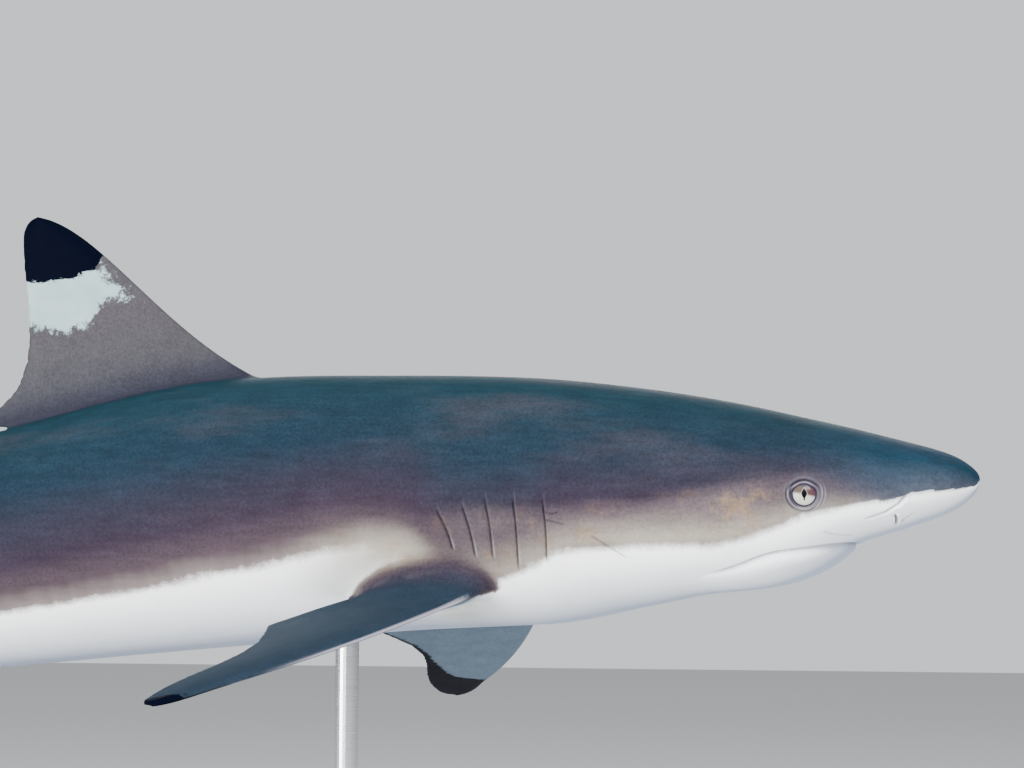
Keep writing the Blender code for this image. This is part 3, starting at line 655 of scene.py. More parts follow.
# Outlines in hundredths of the total length, a median fin's on the straight body and a paired
# fin's from the front of its base. The leading curves and the curves behind run from the
# body to the tip, and the breaks say how far along the span each of them ends. Thickness is
# half of it at the base and at the tip, then that of the rear edge and a swelling at the
# base. "under" is the underside's share of it, and the fillet is in millimetres.
FINS = {
    "first_dorsal": {
        "leading": [[(27.6, 4.6), (33.6, 5.9), (36.3, 13.0), (39.45, 14.06)]],
        "behind": [
            [(40.2, 3.6), (40.7, 4.7), (41.6, 5.0), (43.5, 5.30)],
            [(43.5, 5.42), (39.5, 6.2), (40.55, 10.2), (40.25, 13.1)],
            [(40.25, 13.1), (40.20, 13.7), (39.95, 14.0), (39.55, 14.07)],
        ],
        "breaks": [0.12, 0.90, 1.0],
        "thickness": (0.50, 0.10, 0.030, 0.0),
        "rows": 64,
        "columns": 26,
        "fillet": 11.0,
    },
    "second_dorsal": {
        "leading": [[(60.6, 2.0), (63.6, 4.4), (65.4, 6.4), (66.9, 6.7)]],
        "behind": [
            [(65.6, 1.6), (66.6, 2.6), (68.0, 3.0), (70.4, 2.92)],
            [(70.4, 3.04), (68.0, 3.6), (67.6, 5.3), (67.2, 6.6)],
        ],
        "breaks": [0.2, 1.0],
        "thickness": (0.28, 0.07, 0.026, 0.0),
        "rows": 34,
        "columns": 18,
        "fillet": 6.0,
    },
    "anal": {
        "leading": [[(61.2, -2.0), (63.6, -4.3), (65.3, -6.6), (66.9, -7.3)]],
        "behind": [
            [(65.8, -1.6), (66.6, -2.5), (68.0, -2.9), (70.4, -2.98)],
            [(70.4, -3.1), (67.4, -3.7), (67.6, -5.6), (67.25, -7.2)],
        ],
        "breaks": [0.2, 1.0],
        "thickness": (0.26, 0.07, 0.026, 0.0),
        "rows": 34,
        "columns": 18,
        "fillet": 6.0,
    },
    "pectoral": {
        "leading": [
            [(-0.5, -2.2), (0.85, 4.4), (3.2, 10.2), (5.35, 13.35)],
            [(5.35, 13.35), (6.0, 14.4), (6.3, 15.5), (7.25, 15.5)],
        ],
        "leading_breaks": [0.88, 1.0],
        "behind": [
            [(4.7, -2.2), (5.2, 0.2), (6.5, 1.9), (8.05, 2.75)],
            [(8.05, 2.75), (9.1, 3.35), (7.3, 4.7), (7.3, 8.0)],
            [(7.3, 8.0), (7.3, 10.2), (8.3, 12.0), (7.98, 14.6)],
            [(7.98, 14.6), (7.9, 15.1), (7.7, 15.5), (7.38, 15.5)],
        ],
        "breaks": [0.16, 0.44, 0.90, 1.0],
        "thickness": (0.55, 0.12, 0.030, 0.38),
        "under": 0.55,
        "rows": 74,
        "columns": 24,
        "fillet": 13.0,
    },
    "pelvic": {
        "leading": [[(-0.3, -1.6), (1.0, 1.6), (2.6, 4.6), (4.6, 5.3)]],
        "behind": [
            [(4.2, -1.4), (4.8, 0.0), (5.6, 0.9), (7.3, 1.9)],
            [(7.3, 1.9), (6.0, 2.9), (5.4, 4.0), (4.9, 5.2)],
        ],
        "breaks": [0.22, 1.0],
        "thickness": (0.28, 0.07, 0.026, 0.1),
        "rows": 32,
        "columns": 18,
        "fillet": 6.0,
    },
    "caudal_upper": {
        "leading": [[(73.9, 0.6), (78.0, 2.35), (91.0, 1.15), (99.9, 0.28)]],
        "behind": [
            [(74.6, -0.8), (76.0, -1.9), (78.0, -3.4), (83.0, -3.95)],
            [(83.0, -3.95), (88.0, -3.6), (93.0, -2.2), (95.3, -1.75)],
            [(95.3, -1.75), (95.8, -2.2), (96.2, -2.62), (96.8, -2.62)],
            [(96.8, -2.62), (98.4, -2.5), (99.7, -1.2), (100.0, 0.1)],
        ],
        "breaks": [0.34, 0.82, 0.88, 1.0],
        "thickness": (0.24, 0.07, 0.026, 0.0),
        "rows": 90,
        "columns": 16,
        "fillet": 5.0,
    },
    "caudal_lower": {
        "leading": [[(74.6, -0.7), (76.4, -5.5), (79.3, -11.0), (82.3, -12.6)]],
        "behind": [
            [(83.4, -2.4), (83.8, -3.1), (84.1, -3.7), (84.4, -4.1)],
            [(84.4, -4.3), (82.0, -6.0), (81.9, -9.6), (82.6, -12.4)],
        ],
        "breaks": [0.14, 1.0],
        "thickness": (0.40, 0.08, 0.026, 0.0),
        "rows": 50,
        "columns": 20,
        "fillet": 6.0,
    },
}


def in_middle_plane(along, across, half):
    """A median fin's straight points: back, half thickness to the side, and up."""
    return place(np.stack([along, half, across], -1))


def tilted_plane(root, side, droop, pitch, sweep):
    """Maps a paired fin's plane into the world.

    root is the front of the base. The droop tips the span down, the pitch turns the
    trailing edge down and the sweep turns the span back, all in degrees.
    """
    forward, right_axis, up_axis = spine_axes(root[0])
    droop, pitch, sweep = (math.radians(a) for a in (droop, pitch, sweep))
    outward = right_axis * side
    span = outward * math.cos(droop) - up_axis * math.sin(droop)
    upper = up_axis * math.cos(droop) + outward * math.sin(droop)
    chord = -forward * math.cos(pitch) - upper * math.sin(pitch)
    normal = upper * math.cos(pitch) - forward * math.sin(pitch)
    back = chord * math.cos(sweep) - span * math.sin(sweep)
    out = span * math.cos(sweep) + chord * math.sin(sweep)
    start = place(np.array([root[0], root[1] * side, root[2]]))

    def to_world(along, across, half):
        along, across, half = (np.asarray(v, float)[:, None] for v in (along, across, half))
        return start + (back * along + out * across + normal * half) * PERCENT

    return to_world


def fin_mesh(shape, to_world, island, flip):
    """Points, faces, places on the outline and face-corner texture places of a fin.

    A place is two coordinates and the distances to the front and the rear edge.
    """
    rows, columns = shape["rows"], shape["columns"]
    t = np.linspace(0, 1, rows) ** 0.92
    front = chain(shape["leading"], shape.get("leading_breaks", [1.0]), t)
    behind = chain(shape["behind"], shape["breaks"], t)
    # Columns crowd at both edges. The section is round in front and thin behind.
    share = (1 - np.cos(np.linspace(0, math.pi, columns + 1))) / 2
    share = 0.55 * share + 0.45 * np.linspace(0, 1, columns + 1) ** 1.2
    bulge = np.sqrt(share) * (1 - share) / 0.385
    base_half, apex_half, edge_half, swell = shape["thickness"]
    # The rear edge is slightly worn.
    fringe = np.random.default_rng(7).normal(0, 0.035, rows)
    points, plan = [], []
    for i in range(rows):
        end = behind[i] + (behind[i] - front[i]) * fringe[i] * 0.12
        across = front[i] + (end - front[i]) * share[:, None]
        base_swell = swell * (1 - float(ease(front[i, 1], 0.0, 3.5))) if swell else 0.0
        half = (base_half + base_swell + (apex_half - base_half) * t[i] ** 0.8) * bulge
        half = half + edge_half * np.minimum(1, share * 10)
        points += [to_world(across[:, 0], across[:, 1], half)]
        lower = -shape.get("under", 1.0) * half[-1:0:-1]
        points += [to_world(across[-1:0:-1, 0], across[-1:0:-1, 1], lower)]
        chord = float(np.linalg.norm(end - front[i]))
        spread = np.column_stack([across, share * chord, (1 - share) * chord])
        plan += [spread, spread[-1:0:-1]]
    points, plan = np.concatenate(points), np.concatenate(plan)
    count = 2 * columns + 1
    low, high = plan[:, :2].min(0), plan[:, :2].max(0)
    # The two sides of the fin lie next to each other on the texture.
    other_side = high[0] - low[0] + 0.3
    u0, v0, scale = island

    def texture_place(vertex, shift):
        x, y = plan[vertex, :2] - low
        return u0 + (x + shift) * scale, v0 + y * scale

    faces, texture = [], []
    for row in range(rows - 1):
        near, far = row * count, (row + 1) * count
        for k in range(count):
            nxt = (k + 1) % count
            quad = [near + k, near + nxt, far + nxt, far + k]
            spots = [texture_place(vertex, other_side if k >= columns else 0) for vertex in quad]
            faces.append(quad[::-1] if flip else quad)
            texture += spots[::-1] if flip else spots
    # One face closes the base and one the tip.
    for row, turned in ((0, not flip), (rows - 1, flip)):
        ring = list(range(row * count, (row + 1) * count))
        ring = ring[::-1] if turned else ring
        faces.append(ring)
        texture += [texture_place(vertex, 0) for vertex in ring]
    return points, faces, plan, np.array(texture)


# ---- marks that the skin's colours follow ------------------------------------------------------


def border_height(at):
    """Height of the border between the dark back and the pale belly."""
    return line_through(
        at,
        (0.0, -0.12),
        (0.3, -0.34),
        (2.2, -0.56),
        (2.9, -0.80),
        (4.0, -0.90),
        (6.2, -1.25),
        (8.0, -1.92),
        (10.0, -2.32),
        (14.4, -2.32),
        (15.9, -2.48),
        (17.2, -3.00),
        (18.8, -3.50),
        (20.4, -3.40),
        (22.5, -2.10),
        (24.5, -1.85),
        (29.0, -2.42),
        (36.0, -3.12),
        (44.0, -3.30),
        (52.0, -2.55),
        (60.0, -1.75),
        (70.0, -1.20),
        (80.0, -0.85),
        (100.0, -0.40),
    )


def body_rise(at, angle):
    """1 along the back, 0 at the border and -1 along the belly, at these places of the body."""
    around = from_top(angle)
    flank = np.radians(np.linspace(2, 178, 177))
    table_at = np.linspace(0.02, BODY_END, 500)
    grid_at, grid_angle = np.meshgrid(table_at, flank, indexing="ij")
    heights = plain_body(grid_at.ravel(), grid_angle.ravel())[:, 2].reshape(grid_at.shape)
    above = heights > border_height(table_at)[:, None]
    border_angle = flank[np.clip(above.sum(1), 1, 176)]
    border = np.interp(at, table_at, border_angle)
    above_border = np.clip(1 - around / border, 0, 1)
    # On the snout the back's colour comes down close to the border.
    above_border **= 0.58 + 0.42 * ease(at, 2.5, 8.0)
    return np.where(around < border, above_border, (border - around) / (math.pi - border))


def body_warmth(at, up):
    """1 in the warm patch round and behind the eye, and in the wedge behind the pectoral fin."""
    over_border = up - border_height(at)
    top = line_through(
        at, (2.5, -0.6), (4.5, -0.2), (6.3, 0.25), (8.5, 0.0), (14.0, -0.85), (20.0, -0.7)
    )
    cheek = 0.55 * ease(at, 2.6, 5.0) + 0.45 * ease(at, 6.5, 9.5)
    cheek *= 1 - 0.45 * ease(at, 12.5, 17.0) - 0.55 * ease(at, 19.0, 22.5)
    cheek *= ease(top - up, -0.35, 0.75) * ease(over_border, -0.25, 0.20)
    wedge = ease(at, 18.5, 22.0) * (1 - ease(at, 22.8, 28.5))
    wedge *= 0.85 * ease(over_border, 1.25, -0.20) * (1 - ease(over_border, -0.9, -3.0))
    return np.maximum(cheek, wedge)


def ink_inside(name, x, y, to_rear):
    """How far a place of a fin's outline lies inside its black, in hundredths of the length."""
    if name == "first_dorsal":
        return y - np.interp(x, [36.7, 37.1, 38.1, 39.4, 40.4], [12.1, 11.25, 11.14, 11.08, 11.32])
    if name == "second_dorsal":
        return np.maximum(y - 5.35, 0.10 - to_rear)
    if name == "anal":
        return np.maximum(-5.9 - y, 0.08 - to_rear)
    if name == "pectoral":
        heights = [3.0, 8.0, 9.1, 9.6, 10.95, 11.98, 12.5, 13.1, 14.0]
        widths = [0.16, 0.28, 0.40, 0.52, 0.90, 1.35, 2.10, 2.8, 4.0]
        return np.interp(y, heights, widths) - to_rear
    if name == "pelvic":
        return np.maximum(y - 4.3, 0.06 - to_rear)
    if name == "caudal_upper":
        return np.maximum(x - 97.0, 0.10 + 0.12 * ease(x, 84, 96) - to_rear)
    return np.maximum(-9.7 - y, 0.10 - to_rear)


def chalk_inside(name, x, y, to_front):
    """The same for the white that lies under the black, before its own ragged edge."""
    if name == "first_dorsal":
        lower = np.interp(x, [35.2, 36.9, 37.6, 38.6, 40.2], [9.95, 9.75, 8.9, 8.6, 9.2])
        return np.minimum(y - lower, 0.65 * (to_front - 0.55))
    if name == "caudal_lower":
        return -7.8 - y
    return np.full(len(x), -4.0)


# ---- materials ----------------------------------------------------------------------------------

# Inputs that go by number: Mix has its share at 0, values at 2 and 3 and colours at 6 and 7,
# and Map Range its value at 0, that value's range at 1 and 2 and the result's at 3 and 4.


def colour(code):
    """Linear RGBA of an sRGB hex colour."""
    channels = [int(code[k : k + 2], 16) / 255 for k in (1, 3, 5)]
    linear = [c / 12.92 if c <= 0.04045 else ((c + 0.055) / 1.055) ** 2.4 for c in channels]
    return (*linear, 1.0)


def new_material(name):
    """An empty node material with a Principled shader, its node tree and the shader."""
    material = bpy.data.materials.new(name)
    material.use_nodes = True
    return material, material.node_tree, material.node_tree.nodes["Principled BSDF"]


def add(tree, kind, inputs=None, **settings):
    """Adds a node, sets it, and sets or links its inputs, each given by name or number."""
    made = tree.nodes.new(kind)
    for name, value in settings.items():
        setattr(made, name, value)
    for name, value in (inputs or {}).items():
        if isinstance(value, bpy.types.Node):
            value = next(out for out in value.outputs if out.enabled)
        if isinstance(value, bpy.types.NodeSocket):
            tree.links.new(value, made.inputs[name])
        else:
            made.inputs[name].default_value = value
    return made


def set_ramp(ramp, *stops):
    """Fills a colour ramp from (position, colour) pairs."""
    band = ramp.color_ramp
    while len(band.elements) < len(stops):
        band.elements.new(0.5)
    for element, (position, value) in zip(band.elements, stops):
        element.position = position
        element.color = value
    return ramp


SMOOTH = {"interpolation_type": "SMOOTHSTEP"}


def skin_patterns(tree, where):
    """Haze, clouds, specks and streaks, which the skin's pigment follows."""
    # Pigment gathers in clouds of 45 and 18 mm, the larger ones drawn out along the body.
    drawn_out = add(tree, "ShaderNodeMapping", {0: where, "Scale": (0.28, 1.0, 1.0)})
    haze = add(
        tree,
        "ShaderNodeTexNoise",
        {"Vector": drawn_out, "Scale": 1 / 0.045, "Detail": 4.0, "Roughness": 0.6},
    )
    cloud = add(
        tree,
        "ShaderNodeTexNoise",
        {"Vector": where, "Scale": 1 / 0.018, "Detail": 4.0, "Roughness": 0.65},
    )
    # Single pigment flecks are 0.3 mm, too fine to show, so they are drawn 1.6 mm across.
    speck = add(
        tree,
        "ShaderNodeTexNoise",
        {"Vector": where, "Scale": 1 / 0.0016, "Detail": 2.0, "Roughness": 0.7},
    )
    # Fine streaks run along the body, 4 mm apart and less.
    combed = add(tree, "ShaderNodeMapping", {0: where, "Scale": (0.12, 1.0, 1.0)})
    streak = add(
        tree,
        "ShaderNodeTexNoise",
        {"Vector": combed, "Scale": 1 / 0.004, "Detail": 3.0, "Roughness": 0.6},
    )
    return haze, cloud, speck, streak


def body_coat(tree, settings, marks, haze, cloud, speck):
    """The dark back, border, belly, snout and warm patches, and where the dark side is."""
    # The border wanders, and is grainy where it fades.
    wander = add(tree, "ShaderNodeMath", {0: haze, 1: 0.11, 2: -0.055}, operation="MULTIPLY_ADD")
    lobes = add(tree, "ShaderNodeMath", {0: cloud, 1: 0.06, 2: -0.03}, operation="MULTIPLY_ADD")
    fleck = add(tree, "ShaderNodeMath", {0: speck, 1: 0.036, 2: -0.018}, operation="MULTIPLY_ADD")
    # It is even on the snout.
    uneven = add(tree, "ShaderNodeMath", {0: wander, 1: lobes}, operation="ADD")
    even = add(
        tree, "ShaderNodeMath", {0: marks["bleach"], 1: -0.75, 2: 1.0}, operation="MULTIPLY_ADD"
    )
    uneven = add(tree, "ShaderNodeMath", {0: uneven, 1: even}, operation="MULTIPLY")
    rise = add(tree, "ShaderNodeMath", {0: marks["rise"], 1: uneven}, operation="ADD")
    rise = add(tree, "ShaderNodeMath", {0: rise, 1: fleck}, operation="ADD")
    unit = add(tree, "ShaderNodeMath", {0: rise, 1: 0.5, 2: 0.5}, operation="MULTIPLY_ADD")
    # Toward the middle of the belly the pale side darkens to the underside colour, here and in the
    # snout's ramp below: painted shade where the belly faces down.
    coat = set_ramp(
        add(tree, "ShaderNodeValToRGB", {0: unit}),
        (0.12, settings.under),
        (0.45, settings.belly),
        (0.475, settings.belly),
        (0.503, settings.edge),
        (0.540, settings.low_flank),
        (0.590, settings.flank),
        (0.720, settings.shoulder),
        (0.900, settings.back),
    )
    # The snout is painted paler than the rest of the back, as painted light, and grey next to the
    # border.
    snout = set_ramp(
        add(tree, "ShaderNodeValToRGB", {0: unit}),
        (0.20, settings.under),
        (0.46, settings.belly),
        (0.475, settings.belly),
        (0.510, settings.snout_low),
        (0.560, settings.snout_low),
        (0.740, settings.snout),
    )
    bleach = marks["bleach"]
    coat = add(tree, "ShaderNodeMix", {0: bleach, 6: coat, 7: snout}, data_type="RGBA")
    # Faint rusty clouds lie over the dark side.
    dark_side = add(tree, "ShaderNodeMapRange", {0: unit, 1: 0.48, 2: 0.54}, **SMOOTH)
    rusty = add(tree, "ShaderNodeMapRange", {0: haze, 1: 0.50, 2: 0.72, 4: 0.30}, **SMOOTH)
    rusty = add(tree, "ShaderNodeMath", {0: rusty, 1: dark_side}, operation="MULTIPLY")
    coat = add(tree, "ShaderNodeMix", {0: rusty, 6: coat, 7: settings.low_flank}, data_type="RGBA")
    # A warm patch behind the eye, with ochre spots, and a beige wedge behind the pectoral fin.
    blotch = add(tree, "ShaderNodeMath", {0: haze, 1: 1.2, 2: 0.4}, operation="MULTIPLY_ADD")
    warm = add(
        tree, "ShaderNodeMath", {0: marks["warm"], 1: blotch}, operation="MULTIPLY", use_clamp=True
    )
    depth = add(tree, "ShaderNodeMapRange", {0: unit, 1: 0.49, 2: 0.58}, **SMOOTH)
    cheek = add(
        tree, "ShaderNodeMix", {0: depth, 6: settings.cheek, 7: settings.cheek_top}, data_type="RGBA"
    )
    spots = add(tree, "ShaderNodeMapRange", {0: cloud, 1: 0.50, 2: 0.68, 4: 0.45}, **SMOOTH)
    cheek = add(tree, "ShaderNodeMix", {0: spots, 6: cheek, 7: settings.ochre}, data_type="RGBA")
    coat = add(tree, "ShaderNodeMix", {0: warm, 6: coat, 7: cheek}, data_type="RGBA")
    return coat, dark_side


def fin_coat(tree, settings, marks, coat, mottle):
    """The fins' own greys over the body's colours."""
    # They are pale underneath, taupe in the middle plane, dark on top of the paired ones.
    greys = set_ramp(
        add(tree, "ShaderNodeValToRGB", {0: marks["fin_tone"]}),
        (0.0, settings.fin_pale),
        (0.5, settings.fin_grey),
        (1.0, settings.fin_dark),
    )
    greys = add(
        tree,
        "ShaderNodeMix",
        {0: 1.0, 6: greys, 7: mottle},
        data_type="RGBA",
        blend_type="MULTIPLY",
    )
    return add(tree, "ShaderNodeMix", {0: marks["fin"], 6: coat, 7: greys}, data_type="RGBA")


def fin_tips(tree, settings, marks, coat, where, tint, speck):
    """The black tips, and the white under some of them."""
    # The white has a lacy edge, in spots of 3 to 5 mm.
    lace = add(
        tree,
        "ShaderNodeTexNoise",
        {"Vector": where, "Scale": 1 / 0.005, "Detail": 5.0, "Roughness": 0.8},
    )
    ragged = add(tree, "ShaderNodeMath", {0: lace, 1: 30.0, 2: -15.0}, operation="MULTIPLY_ADD")
    white = add(tree, "ShaderNodeMath", {0: marks["chalk"], 1: ragged}, operation="ADD")
    white = add(tree, "ShaderNodeMapRange", {0: white, 1: -1.0, 2: 3.0}, **SMOOTH)
    chalky = add(
        tree,
        "ShaderNodeMix",
        {0: 1.0, 6: settings.chalk, 7: tint},
        data_type="RGBA",
        blend_type="MULTIPLY",
    )
    coat = add(tree, "ShaderNodeMix", {0: white, 6: coat, 7: chalky}, data_type="RGBA")
    # The black frays along the fin's fibres, which run back to its rear edge 2 mm apart.
    fibre_x = add(tree, "ShaderNodeMath", {0: marks["fin_x"], 1: 0.9}, operation="MULTIPLY")
    fibre_y = add(tree, "ShaderNodeMath", {0: marks["fin_y"], 1: 6.0}, operation="MULTIPLY")
    fibres = add(tree, "ShaderNodeCombineXYZ", {0: fibre_x, 1: fibre_y})
    strands = add(
        tree, "ShaderNodeTexNoise", {"Vector": fibres, "Scale": 1.0, "Detail": 3.0, "Roughness": 0.6}
    )
    frayed = add(tree, "ShaderNodeMath", {0: speck, 1: 5.0, 2: -2.5}, operation="MULTIPLY_ADD")
    frayed = add(tree, "ShaderNodeMath", {0: strands, 1: 9.0, 2: frayed}, operation="MULTIPLY_ADD")
    black = add(tree, "ShaderNodeMath", {0: marks["ink"], 1: frayed}, operation="ADD")
    black = add(tree, "ShaderNodeMapRange", {0: black, 1: 4.1, 2: 5.0}, **SMOOTH)
    coat = add(tree, "ShaderNodeMix", {0: black, 6: coat, 7: settings.ink}, data_type="RGBA")
    return coat


def crease_lines(tree, settings, marks, coat):
    """Painted shade in slits and creases, and painted highlights on the edges of lids and flaps; scars
    are drawn dark as well.
    """
    lid = add(tree, "ShaderNodeMath", {0: marks["lid"], 1: 0.5}, operation="MULTIPLY")
    coat = add(tree, "ShaderNodeMix", {0: lid, 6: coat, 7: settings.lid}, data_type="RGBA")
    pale = add(
        tree, "ShaderNodeMath", {0: marks["crease"], 1: -1.0}, operation="MULTIPLY", use_clamp=True
    )
    coat = add(tree, "ShaderNodeMix", {0: pale, 6: coat, 7: settings.fold_edge}, data_type="RGBA")
    deep = add(
        tree, "ShaderNodeMath", {0: marks["crease"], 1: 0.92}, operation="MULTIPLY", use_clamp=True
    )
    coat = add(tree, "ShaderNodeMix", {0: deep, 6: coat, 7: settings.crease}, data_type="RGBA")
    return coat


def skin_material(settings):
    """Shark skin: millions of tiny tooth-like scales over flesh, so a satin, grainy surface."""
    material, tree, shader = new_material("Denticled shark skin")
    marks = {
        name: add(tree, "ShaderNodeAttribute", attribute_name=name).outputs["Fac"]
        for name in MARK_NAMES
    }
    where = add(tree, "ShaderNodeTexCoord").outputs["Object"]
    haze, cloud, speck, streak = skin_patterns(tree, where)
    coat, dark_side = body_coat(tree, settings, marks, haze, cloud, speck)
    # On the dark side the pigment is cloudy, flecked and streaked.
    tint = add(tree, "ShaderNodeMath", {0: cloud, 1: 0.50, 2: 0.75}, operation="MULTIPLY_ADD")
    fine = add(tree, "ShaderNodeMath", {0: speck, 1: 1.00, 2: 0.50}, operation="MULTIPLY_ADD")
    lines = add(tree, "ShaderNodeMath", {0: streak, 1: 0.60, 2: 0.70}, operation="MULTIPLY_ADD")
    mottle = add(tree, "ShaderNodeMath", {0: tint, 1: fine}, operation="MULTIPLY")
    shade = add(tree, "ShaderNodeMath", {0: mottle, 1: lines}, operation="MULTIPLY")
    shade = add(tree, "ShaderNodeMix", {0: dark_side, 2: 1.0, 3: shade})
    coat = add(
        tree, "ShaderNodeMix", {0: 1.0, 6: coat, 7: shade}, data_type="RGBA", blend_type="MULTIPLY"
    )
    coat = fin_coat(tree, settings, marks, coat, mottle)
    coat = fin_tips(tree, settings, marks, coat, where, tint, speck)
    coat = crease_lines(tree, settings, marks, coat)
    tree.links.new(coat.outputs["Result"], shader.inputs["Base Color"])

    # The scales scatter light, so there is only a weak, broad sheen.
    rough = add(tree, "ShaderNodeMath", {0: speck, 1: 0.20, 2: 0.46}, operation="MULTIPLY_ADD")
    tree.links.new(rough.outputs[0], shader.inputs["Roughness"])
    shader.inputs["Specular IOR Level"].default_value = 0.015
    shader.inputs["IOR"].default_value = 1.40
    shader.inputs["Subsurface Weight"].default_value = 0.06
    shader.inputs["Subsurface Radius"].default_value = (1.0, 0.45, 0.30)
    shader.inputs["Subsurface Scale"].default_value = 0.004

    # Real scales are 0.3 mm, too fine to show, so the grain is drawn 1.1 mm across.
    grain = add(tree, "ShaderNodeTexVoronoi", {"Vector": where, "Scale": 1 / 0.0011})
    # Under them the skin is gently uneven, every 12 mm or so.
    swell = add(tree, "ShaderNodeTexNoise", {"Vector": where, "Scale": 1 / 0.012, "Detail": 3.0})
    grain_height = add(tree, "ShaderNodeMath", {0: grain, 1: 0.00006}, operation="MULTIPLY")
    height = add(
        tree, "ShaderNodeMath", {0: swell, 1: 0.0007, 2: grain_height}, operation="MULTIPLY_ADD"
    )
    bumps = add(tree, "ShaderNodeBump", {"Height": height, "Strength": 0.45, "Distance": 1.0})
    tree.links.new(bumps.outputs[0], shader.inputs["Normal"])
    return material


def eye_material(settings):
    """A glass eye: a painted iris under clear polished glass, so a small wet highlight."""
    material, tree, shader = new_material("Polished glass eye")
    spot = add(tree, "ShaderNodeAttribute", attribute_name="iris_place").outputs["Vector"]
    parts = add(tree, "ShaderNodeSeparateXYZ", {0: spot})
    ahead, above = parts.outputs[0], parts.outputs[1]
    radius = add(tree, "ShaderNodeVectorMath", {0: spot}, operation="LENGTH").outputs["Value"]
    turn = add(tree, "ShaderNodeMath", {0: above, 1: ahead}, operation="ARCTAN2")
    inward = add(tree, "ShaderNodeMath", {0: radius, 1: 0.10}, operation="MULTIPLY")
    rays = add(tree, "ShaderNodeCombineXYZ", {0: turn, 1: inward})
    fibre = add(
        tree, "ShaderNodeTexNoise", {"Vector": rays, "Scale": 7.0, "Detail": 5.0, "Roughness": 0.7}
    )
    fleck = add(tree, "ShaderNodeTexNoise", {"Vector": spot, "Scale": 1.6, "Detail": 3.0})
    # Cream below, tan above and behind, dusky rose above and in front, and a brown to dark painted
    # shade under the lid.
    stray = add(tree, "ShaderNodeMath", {0: fleck, 1: 1.8, 2: -0.9}, operation="MULTIPLY_ADD")
    tilted = add(tree, "ShaderNodeMath", {0: ahead, 1: 0.22, 2: above}, operation="MULTIPLY_ADD")
    high = add(tree, "ShaderNodeMath", {0: tilted, 1: stray}, operation="ADD")
    share = add(tree, "ShaderNodeMapRange", {0: ahead, 1: -1.0, 2: 1.5}, **SMOOTH)
    brown = {0: share, 6: settings.iris_tan, 7: settings.iris_rose}
    brown = add(tree, "ShaderNodeMix", brown, data_type="RGBA")
    share = add(tree, "ShaderNodeMapRange", {0: high, 1: -1.6, 2: 0.6}, **SMOOTH)
    iris = add(tree, "ShaderNodeMix", {0: share, 6: settings.iris_pale, 7: brown}, data_type="RGBA")
    # Under the upper lid the iris turns to the rim colour: painted shade.
    share = add(tree, "ShaderNodeMapRange", {0: high, 1: 3.2, 2: 5.0}, **SMOOTH)
    iris = add(tree, "ShaderNodeMix", {0: share, 6: iris, 7: settings.iris_rim_shade}, data_type="RGBA")
    share = add(tree, "ShaderNodeMapRange", {0: fibre, 1: 0.45, 2: 0.75, 4: 0.40}, **SMOOTH)
    iris = add(tree, "ShaderNodeMix", {0: share, 6: iris, 7: settings.iris_grey}, data_type="RGBA")
    # The dark rim round the iris is painted shade at the edge of the opening.
    share = add(tree, "ShaderNodeMapRange", {0: radius, 1: 5.7, 2: 6.4}, **SMOOTH)
    iris = add(tree, "ShaderNodeMix", {0: share, 6: iris, 7: settings.iris_rim_shade}, data_type="RGBA")
    # The pupil is an upright spindle in a pale halo, with a small dot under it.
    half_width, half_height = settings.pupil_width * 500, settings.pupil_height * 500
    across = add(tree, "ShaderNodeMath", {0: ahead, 1: half_width}, operation="DIVIDE")
    across = add(tree, "ShaderNodeMath", {0: across}, operation="ABSOLUTE")
    across = add(tree, "ShaderNodeMath", {0: across, 1: 1.35}, operation="POWER")
    tall = add(tree, "ShaderNodeMath", {0: above, 1: half_height}, operation="DIVIDE")
    tall = add(tree, "ShaderNodeMath", {0: tall}, operation="ABSOLUTE")
    tall = add(tree, "ShaderNodeMath", {0: tall, 1: 1.35}, operation="POWER")
    spindle = add(tree, "ShaderNodeMath", {0: across, 1: tall}, operation="ADD")
    share = add(tree, "ShaderNodeMapRange", {0: spindle, 1: 1.60, 2: 1.10, 4: 0.35}, **SMOOTH)
    iris = add(tree, "ShaderNodeMix", {0: share, 6: iris, 7: settings.pupil_rim}, data_type="RGBA")
    share = add(tree, "ShaderNodeMapRange", {0: spindle, 1: 1.15, 2: 0.95}, **SMOOTH)
    iris = add(tree, "ShaderNodeMix", {0: share, 6: iris, 7: settings.pupil}, data_type="RGBA")
    dot = add(tree, "ShaderNodeVectorMath", {0: spot, 1: (0.0, -3.15, 0.0)}, operation="DISTANCE")
    share = add(tree, "ShaderNodeMapRange", {0: dot.outputs["Value"], 1: 0.66, 2: 0.40}, **SMOOTH)
    iris = add(tree, "ShaderNodeMix", {0: share, 6: iris, 7: settings.pupil}, data_type="RGBA")
    tree.links.new(iris.outputs["Result"], shader.inputs["Base Color"])
    shader.inputs["Roughness"].default_value = 0.30
    shader.inputs["Specular IOR Level"].default_value = 0.08
    shader.inputs["Coat Weight"].default_value = 0.14
    shader.inputs["Coat Roughness"].default_value = 0.04
    shader.inputs["Coat IOR"].default_value = 1.5
    return material


